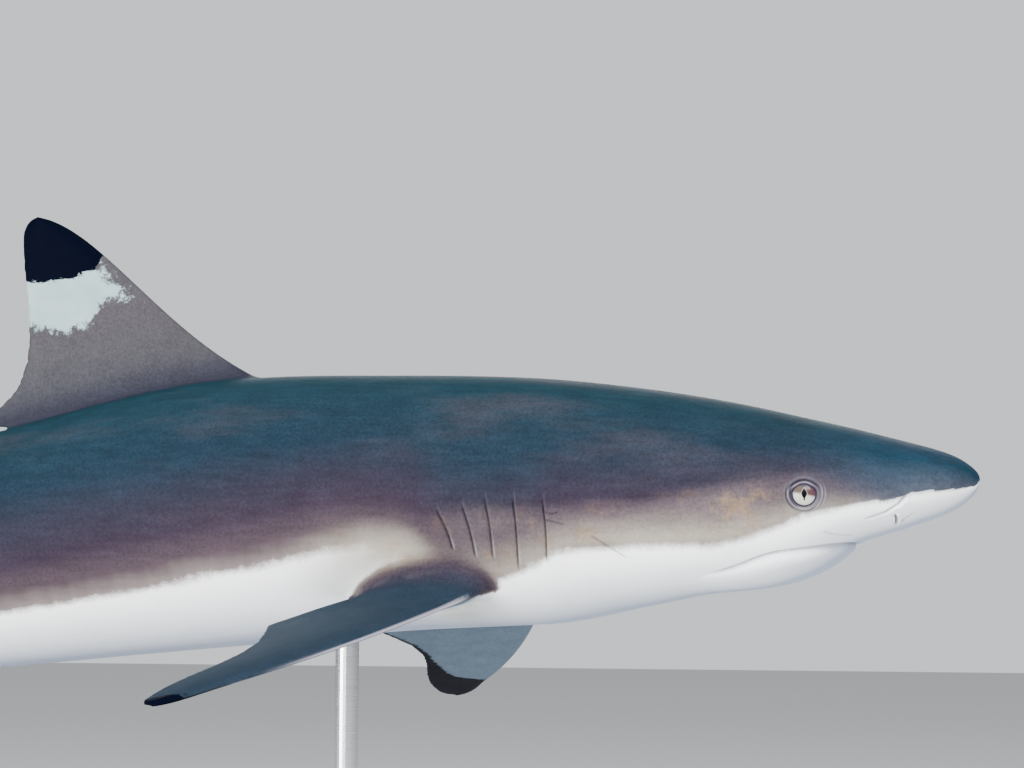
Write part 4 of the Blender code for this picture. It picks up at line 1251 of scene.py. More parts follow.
def lacquer_material(settings):
    """Sprayed and rubbed lacquer on board: deep black, satin, with faint dust and orange peel."""
    material, tree, shader = new_material("Satin black lacquer")
    where = add(tree, "ShaderNodeTexCoord").outputs["Object"]
    # Rubbing leaves duller clouds about 50 mm across.
    cloud = add(tree, "ShaderNodeTexNoise", {"Vector": where, "Scale": 1 / 0.05, "Detail": 4.0})
    mixed = add(
        tree,
        "ShaderNodeMix",
        {0: cloud.outputs["Fac"], 6: settings.lacquer, 7: settings.lacquer_worn},
        data_type="RGBA",
    )
    tree.links.new(mixed.outputs["Result"], shader.inputs["Base Color"])
    rough = add(tree, "ShaderNodeMapRange", {0: cloud.outputs["Fac"], 3: 0.26, 4: 0.40})
    tree.links.new(rough.outputs[0], shader.inputs["Roughness"])
    # Orange peel from the spray gun, about 1.5 mm across.
    peel = add(tree, "ShaderNodeTexNoise", {"Vector": where, "Scale": 1 / 0.0015, "Detail": 1.0})
    height = {"Height": peel.outputs["Fac"], "Strength": 0.12, "Distance": 0.0002}
    height = add(tree, "ShaderNodeBump", height)
    tree.links.new(height.outputs[0], shader.inputs["Normal"])
    return material


def steel_material(settings):
    """Stainless steel turned on a lathe: fine rings round each rod catch the light."""
    material, tree, shader = new_material("Turned stainless steel")
    where = add(tree, "ShaderNodeTexCoord").outputs["Object"]
    # Real lathe marks are 0.1 mm apart, too fine to show, so they are drawn 0.8 mm apart.
    rings = add(tree, "ShaderNodeMapping", {0: where, "Scale": (0.02, 0.02, 1.0)}).outputs[0]
    marks = add(tree, "ShaderNodeTexNoise", {"Vector": rings, "Scale": 1 / 0.0008, "Detail": 2.0})
    rough = add(tree, "ShaderNodeMapRange", {0: marks.outputs["Fac"], 3: 0.20, 4: 0.38})
    tree.links.new(rough.outputs[0], shader.inputs["Roughness"])
    height = {"Height": marks.outputs["Fac"], "Strength": 0.2, "Distance": 0.0001}
    height = add(tree, "ShaderNodeBump", height)
    tree.links.new(height.outputs[0], shader.inputs["Normal"])
    shader.inputs["Base Color"].default_value = settings.steel
    shader.inputs["Metallic"].default_value = 1.0
    return material


def plain_material(name, value, roughness):
    """One flat colour, as of matt paint."""
    material, _, shader = new_material(name)
    shader.inputs["Base Color"].default_value = value
    shader.inputs["Roughness"].default_value = roughness
    return material


# ---- settings ---------------------------------------------------------------------------------------


def tint_property(name, description, code):
    """A setting for a colour, from its sRGB hex code."""
    return bpy.props.FloatVectorProperty(
        name=name,
        description=description,
        subtype="COLOR",
        size=4,
        min=0,
        max=1,
        default=colour(code),
    )


def length_property(name, description, metres):
    """A setting for a length."""
    return bpy.props.FloatProperty(
        name=name, description=description, default=metres, min=0, unit="LENGTH", precision=5
    )


class SkinSettings(bpy.types.PropertyGroup):
    """Sizes and colours of the skin."""

    head_cell: length_property("Head cell", "Length of a mesh cell on the head", 0.0019)
    trunk_cell: length_property("Trunk cell", "Length of a mesh cell on the trunk", 0.0042)
    columns: bpy.props.IntProperty(
        name="Columns", description="Mesh cells round the body", default=96, min=24
    )
    back: tint_property("Back", "Colour of the back", "#142a33")
    shoulder: tint_property("Shoulder", "Colour of the upper flank", "#182530")
    # The snout's paler colour is painted light.
    snout: tint_property("Snout", "Colour of the top of the snout", "#172c3a")
    snout_low: tint_property("Snout low", "Colour of the snout by the border", "#3c424d")
    flank: tint_property("Flank", "Colour of the middle flank", "#2b242f")
    low_flank: tint_property("Low flank", "Colour just above the border", "#40363c")
    edge: tint_property("Border", "Colour of the border itself", "#6e6664")
    belly: tint_property("Belly", "Colour of the pale side", "#f8fafb")
    # The underside colour is painted shade on the downward-facing belly and snout.
    under: tint_property("Underside", "Colour along the middle of the belly", "#98a2b4")
    cheek: tint_property("Cheek", "Colour of the warm patch behind the eye", "#8c867a")
    cheek_top: tint_property("Cheek, top", "Colour of that patch where it meets the back", "#554c4f")
    ochre: tint_property("Ochre", "Colour of the spots in the warm patch", "#7d6548")
    fin_pale: tint_property("Fin, pale side", "Colour of the underside of the paired fins", "#566574")
    fin_grey: tint_property("Fin, grey", "Colour of the median fins", "#3f3d41")
    fin_dark: tint_property("Fin, dark side", "Colour of the top of the paired fins", "#1f2a35")
    chalk: tint_property("Fin band", "White under the black tips", "#8a9ea1")
    ink: tint_property("Fin tip", "Black of the fin tips", "#020410")
    lid: tint_property("Lids", "Colour of the skin round the eye", "#4f4c5a")
    # Fold edges are painted highlights on lids and gill flaps, and the pectoral fin's pale front line.
    fold_edge: tint_property("Fold edges", "Colour along the edges of lids and flaps", "#a5a2ae")
    # Creases are painted shade deep in slits and folds; scars take the same colour.
    crease: tint_property("Creases", "Colour deep in slits and folds", "#191824")


class EyeSettings(bpy.types.PropertyGroup):
    """Sizes and colours of the eyes."""

    proud: length_property("Proud", "How far the eye stands out of the plain skin", 0.0008)
    pupil_width: length_property("Pupil width", "Width of the pupil", 0.0030)
    pupil_height: length_property("Pupil height", "Height of the pupil", 0.0056)
    iris_pale: tint_property("Iris, pale", "Lower part of the iris", "#a8a99c")
    iris_tan: tint_property("Iris, tan", "Upper rear part of the iris", "#4e423d")
    iris_rose: tint_property("Iris, rose", "Upper front part of the iris", "#42292e")
    iris_grey: tint_property("Iris fibres", "Fibres of the iris", "#6b6862")
    # The iris rim colour is painted shade, round the rim and under the lid.
    iris_rim_shade: tint_property("Iris rim", "Dark ring round the iris", "#2e2c40")
    pupil_rim: tint_property("Pupil rim", "Pale halo of the pupil", "#bab8aa")
    pupil: tint_property("Pupil", "Colour of the pupil", "#060508")


class StandSettings(bpy.types.PropertyGroup):
    """Sizes and colours of the display stand."""

    collar_radius: length_property("Collar radius", "Outer radius of the rods' collars", 0.021)
    collar_height: length_property("Collar height", "Height of the rods' collars", 0.006)
    screw_radius: length_property("Screw radius", "Radius of a collar screw's head", 0.0028)
    screws: bpy.props.IntProperty(name="Screws", description="Screws in a collar", default=3, min=2)
    lacquer: tint_property("Lacquer", "Colour of the base", "#101114")
    lacquer_worn: tint_property("Lacquer, rubbed", "Colour where the base is rubbed", "#1b1c20")
    steel: tint_property("Steel", "Colour of the rods", "#c3c4c6")


class StageSettings(bpy.types.PropertyGroup):
    """The camera and the studio."""

    lens: bpy.props.FloatProperty(
        name="Lens", description="Focal length in millimetres", default=93.008, min=10
    )
    camera_place: bpy.props.FloatVectorProperty(
        name="Camera place",
        description="Where the camera stands",
        subtype="TRANSLATION",
        unit="LENGTH",
        default=(0.68440, -1.48160, 0.32352),
    )
    camera_yaw: bpy.props.FloatProperty(
        name="Camera yaw",
        description="Turn from straight along the Y axis",
        subtype="ANGLE",
        default=math.radians(17.104),
    )
    camera_pitch: bpy.props.FloatProperty(
        name="Camera pitch",
        description="How far the camera looks up",
        subtype="ANGLE",
        default=math.radians(4.974),
    )
    camera_roll: bpy.props.FloatProperty(
        name="Camera roll",
        description="Turn about the line of sight",
        subtype="ANGLE",
        default=math.radians(0.257),
    )
    floor: tint_property("Floor", "Colour of the studio floor", "#f0f1f2")
    wall: tint_property("Surroundings", "Colour of the light all round", "#e8ebee")


# ---- making the pieces ----------------------------------------------------------------------------


def mesh_object(name, points, faces, material=None):
    """A new object in the scene from world points, with smooth faces."""
    mesh = bpy.data.meshes.new(name)
    mesh.from_pydata([tuple(p) for p in np.asarray(points).tolist()], [], [list(f) for f in faces])
    mesh.polygons.foreach_set("use_smooth", np.ones(len(mesh.polygons), bool))
    if material:
        mesh.materials.append(material)
    mesh.update()
    obj = bpy.data.objects.new(name, mesh)
    bpy.context.scene.collection.objects.link(obj)
    return obj


def set_texture(mesh, texture):
    """Gives each face corner its place on the texture."""
    layer = mesh.uv_layers.new(name="OFBake")
    layer.data.foreach_set("uv", np.asarray(texture, np.float32).ravel())


def write_mark(mesh, name, values):
    """Keeps one number for each point of the mesh."""
    layer = mesh.attributes.new(name, "FLOAT", "POINT")
    layer.data.foreach_set("value", np.asarray(values, np.float32))


# What the skin's colours follow, kept at each point of its mesh.
MARK_NAMES = (
    "rise",  # 1 along the back, 0 at the border, -1 along the belly
    "warm",  # 1 in the warm patches
    "bleach",  # 1 at the snout tip, 0 behind the eyes
    # crease: above 0 painted shade in slits, folds and furrows, or a scar; below 0 a painted highlight
    # on lid and gill flap edges, or the pectoral fin's pale front line.
    "crease",  # above 0 a dark line, below 0 a pale one
    "lid",  # 1 round the eye
    "fin",  # 0 on the body, 1 on a fin
    "fin_tone",  # 0 on a paired fin's underside, 1 on its top, 0.5 on a median fin
    "ink",  # how far inside a black tip, in millimetres
    "chalk",  # how far inside the white under it, in millimetres
    "fin_x",  # place on the fin's outline
    "fin_y",
)
NO_TIP = -60.0  # ink and chalk of the body, in millimetres
# The body takes the lower part of the texture and the fins a shelf above it.
BODY_TEXTURE = (1.0, 0.61)
SHELF_CORNER = (0.0, 0.63)
SHELF_SCALE = 0.0105  # texture width of one hundredth of the length
# Where each fin lies on the shelf, in hundredths of the length from its corner.
FIN_ISLANDS = {
    "pectoral_right": (0.5, 0.3),
    "pectoral_left": (20.5, 0.3),
    "first_dorsal": (40.5, 0.3),
    "caudal_lower": (72.5, 0.3),
    "caudal_upper": (0.5, 18.8),
    "pelvic_right": (56.0, 18.8),
    "second_dorsal": (73.0, 18.8),
    "anal": (0.5, 27.0),
    "pelvic_left": (24.0, 27.0),
}


def fin_list():
    """(name, outline, plane, turned over) of every fin, a paired one tilted by three angles."""
    for name in ("first_dorsal", "second_dorsal", "anal", "caudal_upper", "caudal_lower"):
        yield name, name, in_middle_plane, False
    for side, label, tilt in ((1, "right", (13.0, 4.9, 5.0)), (-1, "left", (15.2, 5.5, 4.2))):
        yield f"pectoral_{label}", "pectoral", tilted_plane((19.26, 4.29, -3.97), side, *tilt), side > 0
    for side, label in ((1, "right"), (-1, "left")):
        yield f"pelvic_{label}", "pelvic", tilted_plane((47.3, 2.9, -3.95), side, 38, 3, 10), side > 0


def outward(obj):
    """Turns the mesh's faces outward if the whole of it is inside out."""
    mesh = obj.data
    bm = bmesh.new()
    bm.from_mesh(mesh)
    if bm.calc_volume(signed=True) < 0:
        bmesh.ops.reverse_faces(bm, faces=bm.faces)
    bm.to_mesh(mesh)
    bm.free()


def body_object(settings):
    """The body's shell, and its marks by name."""
    points, faces, marks, texture = body_grid(settings)
    obj = mesh_object("body_shell", place(points), faces)
    set_texture(obj.data, texture * np.array(BODY_TEXTURE))
    outward(obj)
    at = points[:, 0]
    middle = body_profile(np.maximum(at, 0))[2]
    angle = np.arctan2(np.abs(points[:, 1]), points[:, 2] - middle)
    marks["rise"] = body_rise(at, angle)
    marks["warm"] = body_warmth(at, points[:, 2])
    # The snout's painted light fades out from the tip to behind the eyes.
    marks["bleach"] = 1 - ease(at, 1.5, 7.5)
    for name, value in (("fin", 0.0), ("fin_tone", 0.5), ("ink", NO_TIP), ("chalk", NO_TIP)):
        marks[name] = np.full(len(points), value)
    marks["fin_x"], marks["fin_y"] = np.zeros(len(points)), np.zeros(len(points))
    return obj, marks


def fin_object(name, outline, to_world, flip):
    """A fin's shell, and its marks by name but for rise and fin, which the body decides."""
    corner = np.array(FIN_ISLANDS[name]) * SHELF_SCALE + np.array(SHELF_CORNER)
    shape = FINS[outline]
    points, faces, plan, texture = fin_mesh(shape, to_world, (*corner, SHELF_SCALE), flip)
    obj = mesh_object(name, points, faces)
    set_texture(obj.data, texture)
    outward(obj)
    x, y, to_front, to_rear = plan.T
    ink = ink_inside(outline, x, y, to_rear) / MM
    chalk = chalk_inside(outline, x, y, to_front) / MM
    count = len(points)
    paired = outline in ("pectoral", "pelvic")
    columns = 2 * shape["columns"] + 1
    underside = (np.arange(count) % columns) > shape["columns"]
    tone = np.where(underside, 0.0, 1.0) if paired else np.full(count, 0.5)
    crease = np.zeros(count)
    if outline == "pectoral":
        # The upper side has only a dusky tip, and a pale line along its front edge.
        ink = np.where(underside, ink, np.minimum(ink, (y - 14.9) / MM))
        crease = -0.95 * (1 - ease(to_front, 0.015, 0.06)) * ~underside
        crease *= ease(y, 1.2, 2.4) * (1 - ease(y, 8.5, 12.5))
    # The first dorsal fin darkens toward its foot: painted shade.
    if outline == "first_dorsal":
        tone += 0.18 * (1 - ease(y, 4.8, 9.0))
    marks = {"fin_tone": tone, "ink": ink, "chalk": chalk, "fin_x": x, "fin_y": y}
    marks["crease"] = crease
    for name in ("warm", "bleach", "lid"):
        marks[name] = np.zeros(count)
    return obj, marks


def union(target, other):
    """Joins a closed shell to another one."""
    step = target.modifiers.new("join", "BOOLEAN")
    step.operation = "UNION"
    step.solver = "MANIFOLD"
    step.object = other
    graph = bpy.context.evaluated_depsgraph_get()
    mesh = bpy.data.meshes.new_from_object(target.evaluated_get(graph), depsgraph=graph)
    if len(mesh.polygons) <= len(target.data.polygons) * 0.9:
        raise RuntimeError(f"{other.name} could not be joined to the body")
    target.modifiers.remove(step)
    old, target.data = target.data, mesh
    bpy.data.meshes.remove(old)


def nearest_distance(tree, points, reach=10.0):
    """Distances from a shell in metres, none counted longer than the reach."""
    hits = [tree.find_nearest(Vector(point), reach)[3] for point in points.tolist()]
    return np.array([reach if hit is None else hit for hit in hits])


def height_over(tree, points):
    """How far points are outside a shell, negative inside it, in metres."""
    heights = []
    for point in points.tolist():
        spot, normal, _, distance = tree.find_nearest(Vector(point))
        heights.append(math.copysign(distance, (Vector(point) - spot).dot(normal)))
    return np.array(heights)


def root_shade(tree, points, reach):
    """1 against the top of a fin's base, falling to 0 this far above it."""
    share = []
    for point in points.tolist():
        spot, normal, _, distance = tree.find_nearest(Vector(point), reach)
        if spot is None:
            share.append(0.0)
            continue
        level = float(ease(abs(normal.y) + 2 * max(normal.z, 0), 0.0, 0.5))
        over = float(ease(point[2] - spot.z, -0.010, -0.002))
        over *= 1 - float(ease(point[0] - spot.x, 0.0, 0.012))
        share.append(level * over * (1 - float(ease(distance, 0.0, reach))) ** 1.5)
    return np.array(share)


def point_tree(points):
    """Finds the nearest of these points."""
    tree = kdtree.KDTree(len(points))
    for k, point in enumerate(points.tolist()):
        tree.insert(point, k)
    tree.balance()
    return tree


# Heights over the body, in metres, between which its colours turn into the fin's.
FIN_EDGES = {"first_dorsal": (-0.001, 0.022), "pectoral": (-0.004, 0.017)}
SMALL_FIN_EDGE = (-0.004, 0.005)
FILLET_ROUNDS = 30


def shade_pectoral_root(body_marks, fin_marks, fin_tree, body_places):
    """The dark of the fin's top runs up onto the flank, most of all in front: partly the fin's pigment,
    partly painted shade in the corner above its base.
    """
    halo = root_shade(fin_tree, body_places, 0.021)
    halo *= 0.35 + 0.65 * ease(body_places[:, 0], 0.138, 0.180)
    body_marks["rise"] += np.maximum(0.20 - body_marks["rise"], 0) * halo
    body_marks["warm"] *= 1 - halo
    top = fin_marks["fin_tone"] > 0.4
    fin_marks["rise"][top] = np.maximum(fin_marks["rise"][top], 0.20)


def shade_dorsal_foot(body_marks, fin_marks, fin_tree, body_places):
    """A dusky band of painted shade runs along the first dorsal fin's foot, where it meets the back."""
    halo = root_shade(fin_tree, body_places, 0.016)
    body_marks["rise"] -= np.maximum(body_marks["rise"] - 0.30, 0) * halo
    fin_marks["rise"] = np.minimum(fin_marks["rise"], 0.30)


FLESH_NODES = [
    "head",
    "lower_jaw",
    "gill_region",
    "trunk_front",
    "trunk_rear",
    "tail_stem",
    "first_dorsal_fin",
    "second_dorsal_fin",
    "anal_fin",
    "pectoral_fin_left",
    "pectoral_fin_right",
    "pelvic_fin_left",
    "pelvic_fin_right",
    "caudal_fin_upper",
    "caudal_fin_lower",
]


class SHARK_OT_skin(bpy.types.Operator):
    """Make the one skin of the body and fins"""

    bl_idname = "shark.skin"
    bl_label = "Skin"

    def execute(self, context):
        settings = context.scene.shark_skin
        body, marks = body_object(settings)
        graph = context.evaluated_depsgraph_get()
        body_tree = BVHTree.FromObject(body, graph)
        body_places = vertex_places(body)
        near_body = point_tree(body_places)
        tables = [(body_places, marks)]
        fillets = []
        for name, outline, to_world, flip in fin_list():
            fin, own_marks = fin_object(name, outline, to_world, flip)
            places = vertex_places(fin)
            start, end = FIN_EDGES.get(outline, SMALL_FIN_EDGE)
            own_marks["fin"] = ease(height_over(body_tree, places), start, end)
            nearest = np.array([near_body.find(p)[1] for p in places.tolist()])
            own_marks["rise"] = marks["rise"][nearest]
            fin_tree = BVHTree.FromObject(fin, context.evaluated_depsgraph_get())
            if outline == "pectoral":
                shade_pectoral_root(marks, own_marks, fin_tree, body_places)
            if outline == "first_dorsal":
                shade_dorsal_foot(marks, own_marks, fin_tree, body_places)
            tables.append((places, own_marks))
            fillets.append((fin, FINS[outline]["fillet"] / 1000))
        graph = context.evaluated_depsgraph_get()
        fin_trees = [(BVHTree.FromObject(fin, graph), reach) for fin, reach in fillets]
        for fin, _ in fillets:
            union(body, fin)
        tidy_slivers(body)
        write_marks(body, tables)
        soften_joins(body, body_tree, fin_trees)
        for fin, _ in fillets:
            old = fin.data
            bpy.data.objects.remove(fin)
            bpy.data.meshes.remove(old)
        body.name = "shark_skin"
        body.data.name = "shark_skin"
        body.data.materials.clear()
        body.data.materials.append(skin_material(settings))
        body.data.polygons.foreach_set("use_smooth", np.ones(len(body.data.polygons), bool))
        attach(body, "root")
        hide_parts(*FLESH_NODES)
        return {"FINISHED"}


def vertex_places(obj):
    """The mesh's points as an array."""
    flat = np.empty(len(obj.data.vertices) * 3, np.float32)
    obj.data.vertices.foreach_get("co", flat)
    return flat.reshape(-1, 3).astype(float)


def tidy_slivers(obj):
    """Merges the tiny edges that a join leaves."""
    bm = bmesh.new()
    bm.from_mesh(obj.data)
    bmesh.ops.remove_doubles(bm, verts=bm.verts, dist=0.00025)
    bmesh.ops.dissolve_degenerate(bm, edges=bm.edges, dist=0.00005)
    bm.to_mesh(obj.data)
    bm.free()


def write_marks(obj, tables):
    """Gives each point of the joined skin the marks of the shell point nearest to it."""
    points = vertex_places(obj)
    tree = point_tree(np.concatenate([places for places, _ in tables]))
    values = {name: np.concatenate([marks[name] for _, marks in tables]) for name in MARK_NAMES}
    nearest = np.array([tree.find(p)[1] for p in points.tolist()])
    for name in MARK_NAMES:
        write_mark(obj.data, name, values[name][nearest])


def soften_joins(obj, body_tree, fin_trees):
    """Fills the sharp corner between the body and each fin with a soft fillet."""
    mesh = obj.data
    points = vertex_places(obj)
    from_body = nearest_distance(body_tree, points)
    weight = np.zeros(len(points))
    for tree, reach in fin_trees:
        join = from_body + nearest_distance(tree, points, reach)
        weight = np.maximum(weight, np.clip(1 - join / reach, 0, 1) ** 0.7)
    pairs = np.empty(len(mesh.edges) * 2, np.int32)
    mesh.edges.foreach_get("vertices", pairs)
    pairs = pairs.reshape(-1, 2)
    busy = (weight[pairs[:, 0]] > 0) | (weight[pairs[:, 1]] > 0)
    pairs = pairs[busy]
    ends = np.concatenate([pairs, pairs[:, ::-1]])
    count = np.bincount(ends[:, 0], minlength=len(points))
    fin = np.empty(len(points), np.float32)
    mesh.attributes["fin"].data.foreach_get("value", fin)
    normals = np.empty(len(points) * 3, np.float32)
    mesh.vertices.foreach_get("normal", normals)
    normals = normals.reshape(-1, 3)
    # Points move to the mean of their neighbours, but never into the skin.
    for _ in range(FILLET_ROUNDS):
        total = np.stack(
            [np.bincount(ends[:, 0], points[ends[:, 1], k], len(points)) for k in range(3)], -1
        )
        mean = np.where(count[:, None] > 0, total / np.maximum(count, 1)[:, None], points)
        move = (mean - points) * 0.5
        inward = np.minimum((move * normals).sum(1), 0)
        move -= normals * inward[:, None]
        points = points + move * weight[:, None]
        tone = np.bincount(ends[:, 0], fin[ends[:, 1]], len(points)) / np.maximum(count, 1)
        fin = np.where(weight > 0, fin + (tone - fin) * weight, fin)
    mesh.vertices.foreach_set("co", points.astype(np.float32).ravel())
    mesh.attributes["fin"].data.foreach_set("value", fin.astype(np.float32))
    mesh.update()


def globe(across, deep, rings, spokes):
    """Points and faces of a flattened ball about its middle, closed at both poles."""
    polar = np.linspace(0, math.pi, rings + 1)[1:-1]
    turn = np.arange(spokes) / spokes * 2 * math.pi
    polar, turn = np.meshgrid(polar, turn, indexing="ij")
    x = np.concatenate([[0], (across * np.sin(polar) * np.cos(turn)).ravel(), [0]])
    y = np.concatenate([[0], (across * np.sin(polar) * np.sin(turn)).ravel(), [0]])
    z = np.concatenate([[deep], (deep * np.cos(polar)).ravel(), [-deep]])
    faces = []
    for ring in range(rings - 2):
        for k in range(spokes):
            a, b = 1 + ring * spokes + k, 1 + ring * spokes + (k + 1) % spokes
            faces.append([a, a + spokes, b + spokes, b])
    last = len(x) - 1
    for k in range(spokes):
        nxt = (k + 1) % spokes
        faces.append([0, 1 + k, 1 + nxt])
        faces.append([last, last - spokes + nxt, last - spokes + k])
    return x, y, z, faces


class SHARK_OT_eyes(bpy.types.Operator):
    """Make the two eyes"""

    bl_idname = "shark.eyes"
    bl_label = "Eyes"

    def execute(self, context):
        settings = context.scene.shark_eyes
        material = eye_material(settings)
        across, deep = (radius * 1000 for radius in EYE_BALL_RADII)
        x, y, z, faces = globe(across, deep, rings=40, spokes=96)
        z = z + settings.proud * 1000 - deep
        forward, up, out = EYE_AXES
        offset = x[:, None] * forward + y[:, None] * up + z[:, None] * out
        for label, side in (("right", 1), ("left", -1)):
            straight = EYE_CENTRE + offset * MM
            straight[:, 1] *= side
            ball = mesh_object(f"eye_globe_{label}", place(straight), faces, material)
            # Millimetres ahead of and above the pupil, which the iris is painted by.
            iris_place = np.stack([x, y, 0 * x], -1)
            layer = ball.data.attributes.new("iris_place", "FLOAT_VECTOR", "POINT")
            layer.data.foreach_set("vector", iris_place.astype(np.float32).ravel())
            outward(ball)
            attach(ball, "root")
            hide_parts(f"eye_{label}")
        return {"FINISHED"}


def collar_tree(material):
    """Geometry Nodes that set countersunk screws round a collar."""
    tree = bpy.data.node_groups.new("Collar screws", "GeometryNodeTree")
    face = tree.interface
    face.new_socket("Geometry", in_out="INPUT", socket_type="NodeSocketGeometry")
    for name in ("Ring radius", "Screw radius"):
        face.new_socket(name, in_out="INPUT", socket_type="NodeSocketFloat")
    face.new_socket("Screws", in_out="INPUT", socket_type="NodeSocketInt")
    face.new_socket("Geometry", in_out="OUTPUT", socket_type="NodeSocketGeometry")
    given = add(tree, "NodeGroupInput")
    ring = add(
        tree,
        "GeometryNodeMeshCircle",
        {"Vertices": given.outputs["Screws"], "Radius": given.outputs["Ring radius"]},
    )
    dome = add(
        tree,
        "GeometryNodeMeshUVSphere",
        {"Segments": 24, "Rings": 12, "Radius": given.outputs["Screw radius"]},
    )
    flat = add(tree, "GeometryNodeTransform", {0: dome.outputs["Mesh"], "Scale": (1.0, 1.0, 0.45)})
    slot = add(tree, "GeometryNodeMeshCube", {"Size": (0.0012, 0.02, 0.0012)})
    high = add(
        tree,
        "GeometryNodeTransform",
        {0: slot.outputs["Mesh"], "Translation": (0.0, 0.0, 0.0014)},
    )
    cut = add(tree, "GeometryNodeMeshBoolean", {"Mesh 1": flat}, operation="DIFFERENCE")
    tree.links.new(high.outputs[0], cut.inputs["Mesh 2"])
    turn = add(
        tree, "FunctionNodeRandomValue", {"Max": (0.0, 0.0, 3.1), "Seed": 4}, data_type="FLOAT_VECTOR"
    )
    spread = add(
        tree,
        "GeometryNodeInstanceOnPoints",
        {"Points": ring.outputs["Mesh"], "Instance": cut.outputs["Mesh"]},
    )
    tree.links.new(turn.outputs["Value"], spread.inputs["Rotation"])
    real = add(tree, "GeometryNodeRealizeInstances", {0: spread})
    painted = add(tree, "GeometryNodeSetMaterial", {0: real, "Material": material})
    result = add(tree, "NodeGroupOutput")
    tree.links.new(painted.outputs[0], result.inputs[0])
    return tree


def modifier_inputs(modifier, **values):
    """Sets a Geometry Nodes modifier's inputs by their names."""
    for item in modifier.node_group.interface.items_tree:
        key = item.name.lower().replace(" ", "_")
        if item.in_out == "INPUT" and key in values:
            modifier[item.identifier] = values[key]


def turned_ring(profile, steps, centre):
    """A closed ring turned from (radius, height) points about an upright axis."""
    points, faces = [], []
    count = len(profile)
    for k in range(steps):
        angle = 2 * math.pi * k / steps
        for radius, height in profile:
            points.append(
                (centre[0] + radius * math.cos(angle), centre[1] + radius * math.sin(angle), height)
            )
    for k in range(steps):
        for j in range(count):
            a, b = k * count + j, k * count + (j + 1) % count
            c, d = (k + 1) % steps * count + j, (k + 1) % steps * count + (j + 1) % count
            faces.append([a, c, d, b])
    return points, faces


class SHARK_OT_stand(bpy.types.Operator):
    """Finish the display stand and add its collars and screws"""

    bl_idname = "shark.stand"
    bl_label = "Stand"

    def execute(self, context):
        settings = context.scene.shark_stand
        lacquer, steel = lacquer_material(settings), steel_material(settings)
        for name, material in (
            ("stand_base", lacquer),
            ("stand_rod_front", steel),
            ("stand_rod_rear", steel),
        ):
            node = bpy.data.objects[name]
            node.data.materials.clear()
            node.data.materials.append(material)
        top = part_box("stand_base")[1].z
        for label in ("front", "rear"):
            low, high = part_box(f"stand_rod_{label}")
            centre = ((low.x + high.x) / 2, (low.y + high.y) / 2)
            inner = (high.x - low.x) / 2 + 0.0002
            outer, tall = settings.collar_radius, settings.collar_height
            # A boss round the rod, then a flange that slopes down to the rim.
            profile = [
                (inner, top + 0.0003),
                (inner, top + tall * 1.9),
                (inner + 0.0008, top + tall * 2.0),
                (inner + 0.0030, top + tall * 2.0),
                (inner + 0.0036, top + tall * 1.88),
                (inner + 0.0040, top + tall * 1.05),
                (inner + 0.0052, top + tall * 0.92),
                (outer - 0.0012, top + tall * 0.62),
                (outer - 0.0003, top + tall * 0.50),
                (outer, top + tall * 0.36),
                (outer, top + 0.0003),
            ]
            points, faces = turned_ring(profile, 72, centre)
            collar = mesh_object(f"stand_collar_{label}", points, faces, steel)
            outward(collar)
            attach(collar, "root")
            screws = mesh_object(f"stand_screws_{label}", [(0, 0, 0)], [])
            step = screws.modifiers.new("screws", "NODES")
            step.node_group = collar_tree(steel)
            modifier_inputs(
                step,
                ring_radius=(inner + 0.0052 + outer) / 2,
                screw_radius=settings.screw_radius,
                screws=settings.screws,
            )
            graph = context.evaluated_depsgraph_get()
            mesh = bpy.data.meshes.new_from_object(screws.evaluated_get(graph), depsgraph=graph)
            screws.modifiers.remove(step)
            screws.data = mesh
            level = top + tall * 0.72
            for vertex in mesh.vertices:
                vertex.co += Vector((centre[0], centre[1], level))
            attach(screws, "root")
        return {"FINISHED"}


def area_light(name, spot, target, size, power):
    """A soft rectangular light that faces a point."""
    data = bpy.data.lights.new(name, "AREA")
    data.shape = "RECTANGLE"
    data.size, data.size_y = size
    data.energy = power
    light = bpy.data.objects.new(name, data)
    light.location = spot
    light.rotation_euler = (Vector(target) - Vector(spot)).to_track_quat("-Z", "Y").to_euler()
    bpy.context.scene.collection.objects.link(light)


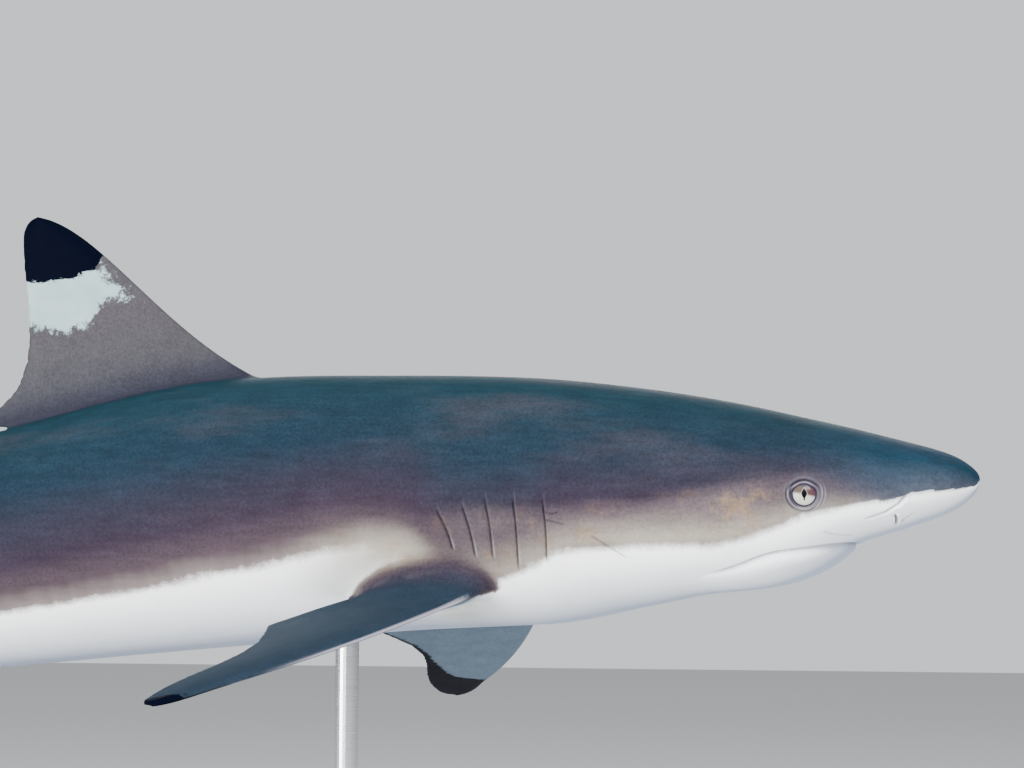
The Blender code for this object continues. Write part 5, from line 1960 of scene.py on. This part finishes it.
class SHARK_OT_stage(bpy.types.Operator):
    """Set up the floor, the lights and the camera"""

    bl_idname = "shark.stage"
    bl_label = "Stage"

    def execute(self, context):
        settings = context.scene.shark_stage
        scene = context.scene
        reach = 14.0
        floor = mesh_object(
            "studio_floor",
            [(-reach, -reach, 0), (reach, -reach, 0), (reach, reach, 0), (-reach, reach, 0)],
            [(0, 1, 2, 3)],
            plain_material("Painted studio floor", settings.floor, 0.9),
        )
        world = bpy.data.worlds.new("Studio")
        world.use_nodes = True
        background = world.node_tree.nodes["Background"]
        background.inputs["Color"].default_value = settings.wall
        # The wall looks brighter than it lights, as a backdrop with a light of its own does.
        tree = world.node_tree
        seen = add(tree, "ShaderNodeLightPath").outputs["Is Camera Ray"]
        glow = add(tree, "ShaderNodeMath", {0: seen, 1: 0.50, 2: 0.58}, operation="MULTIPLY_ADD")
        tree.links.new(glow.outputs[0], background.inputs["Strength"])
        scene.world = world
        area_light("key_light", (1.6, -2.0, 2.4), (0.2, 0, 0.38), (1.6, 1.1), 205)
        area_light("fill_light", (-1.2, -2.5, 0.55), (-0.1, 0, 0.35), (1.5, 0.9), 150)
        area_light("far_light", (-0.4, 2.7, 1.5), (0, 0, 0.4), (1.8, 1.2), 46)
        area_light("top_light", (-0.1, 0.4, 2.8), (0, 0, 0.4), (2.6, 1.6), 24)

        camera = bpy.data.objects.new("camera", bpy.data.cameras.new("camera"))
        camera.data.lens = settings.lens
        camera.data.sensor_width = 36.0
        yaw, pitch, roll = settings.camera_yaw, settings.camera_pitch, settings.camera_roll
        camera.rotation_euler = camera_turn(yaw, pitch, roll)
        camera.location = settings.camera_place
        scene.collection.objects.link(camera)
        scene.camera = camera
        return {"FINISHED"}


def camera_turn(yaw, pitch, roll):
    """The camera's rotation, from how it is turned, tipped up and rolled."""
    turn = Matrix.Rotation(yaw, 3, "Z") @ Matrix.Rotation(math.pi / 2 + pitch, 3, "X")
    return (turn @ Matrix.Rotation(roll, 3, "Z")).to_euler()


class SHARK_PT_panel(bpy.types.Panel):
    """Lists the operators that make the model"""

    bl_idname = "SHARK_PT_panel"
    bl_label = "Shark"
    bl_space_type = "VIEW_3D"
    bl_region_type = "UI"
    bl_category = "Shark"

    def draw(self, context):
        for operator in (SHARK_OT_skin, SHARK_OT_eyes, SHARK_OT_stand, SHARK_OT_stage):
            self.layout.operator(operator.bl_idname)


GROUPS = {
    "shark_skin": SkinSettings,
    "shark_eyes": EyeSettings,
    "shark_stand": StandSettings,
    "shark_stage": StageSettings,
}
OPERATORS = (SHARK_OT_skin, SHARK_OT_eyes, SHARK_OT_stand, SHARK_OT_stage)


def register():
    for name, group in GROUPS.items():
        bpy.utils.register_class(group)
        setattr(bpy.types.Scene, name, bpy.props.PointerProperty(type=group))
    for operator in (*OPERATORS, SHARK_PT_panel):
        bpy.utils.register_class(operator)


def unregister():
    for operator in (SHARK_PT_panel, *reversed(OPERATORS)):
        bpy.utils.unregister_class(operator)
    for name, group in GROUPS.items():
        delattr(bpy.types.Scene, name)
        bpy.utils.unregister_class(group)


def main():
    register()
    bpy.ops.shark.skin()
    bpy.ops.shark.eyes()
    bpy.ops.shark.stand()
    bpy.ops.shark.stage()


if __name__ == "__main__":
    main()
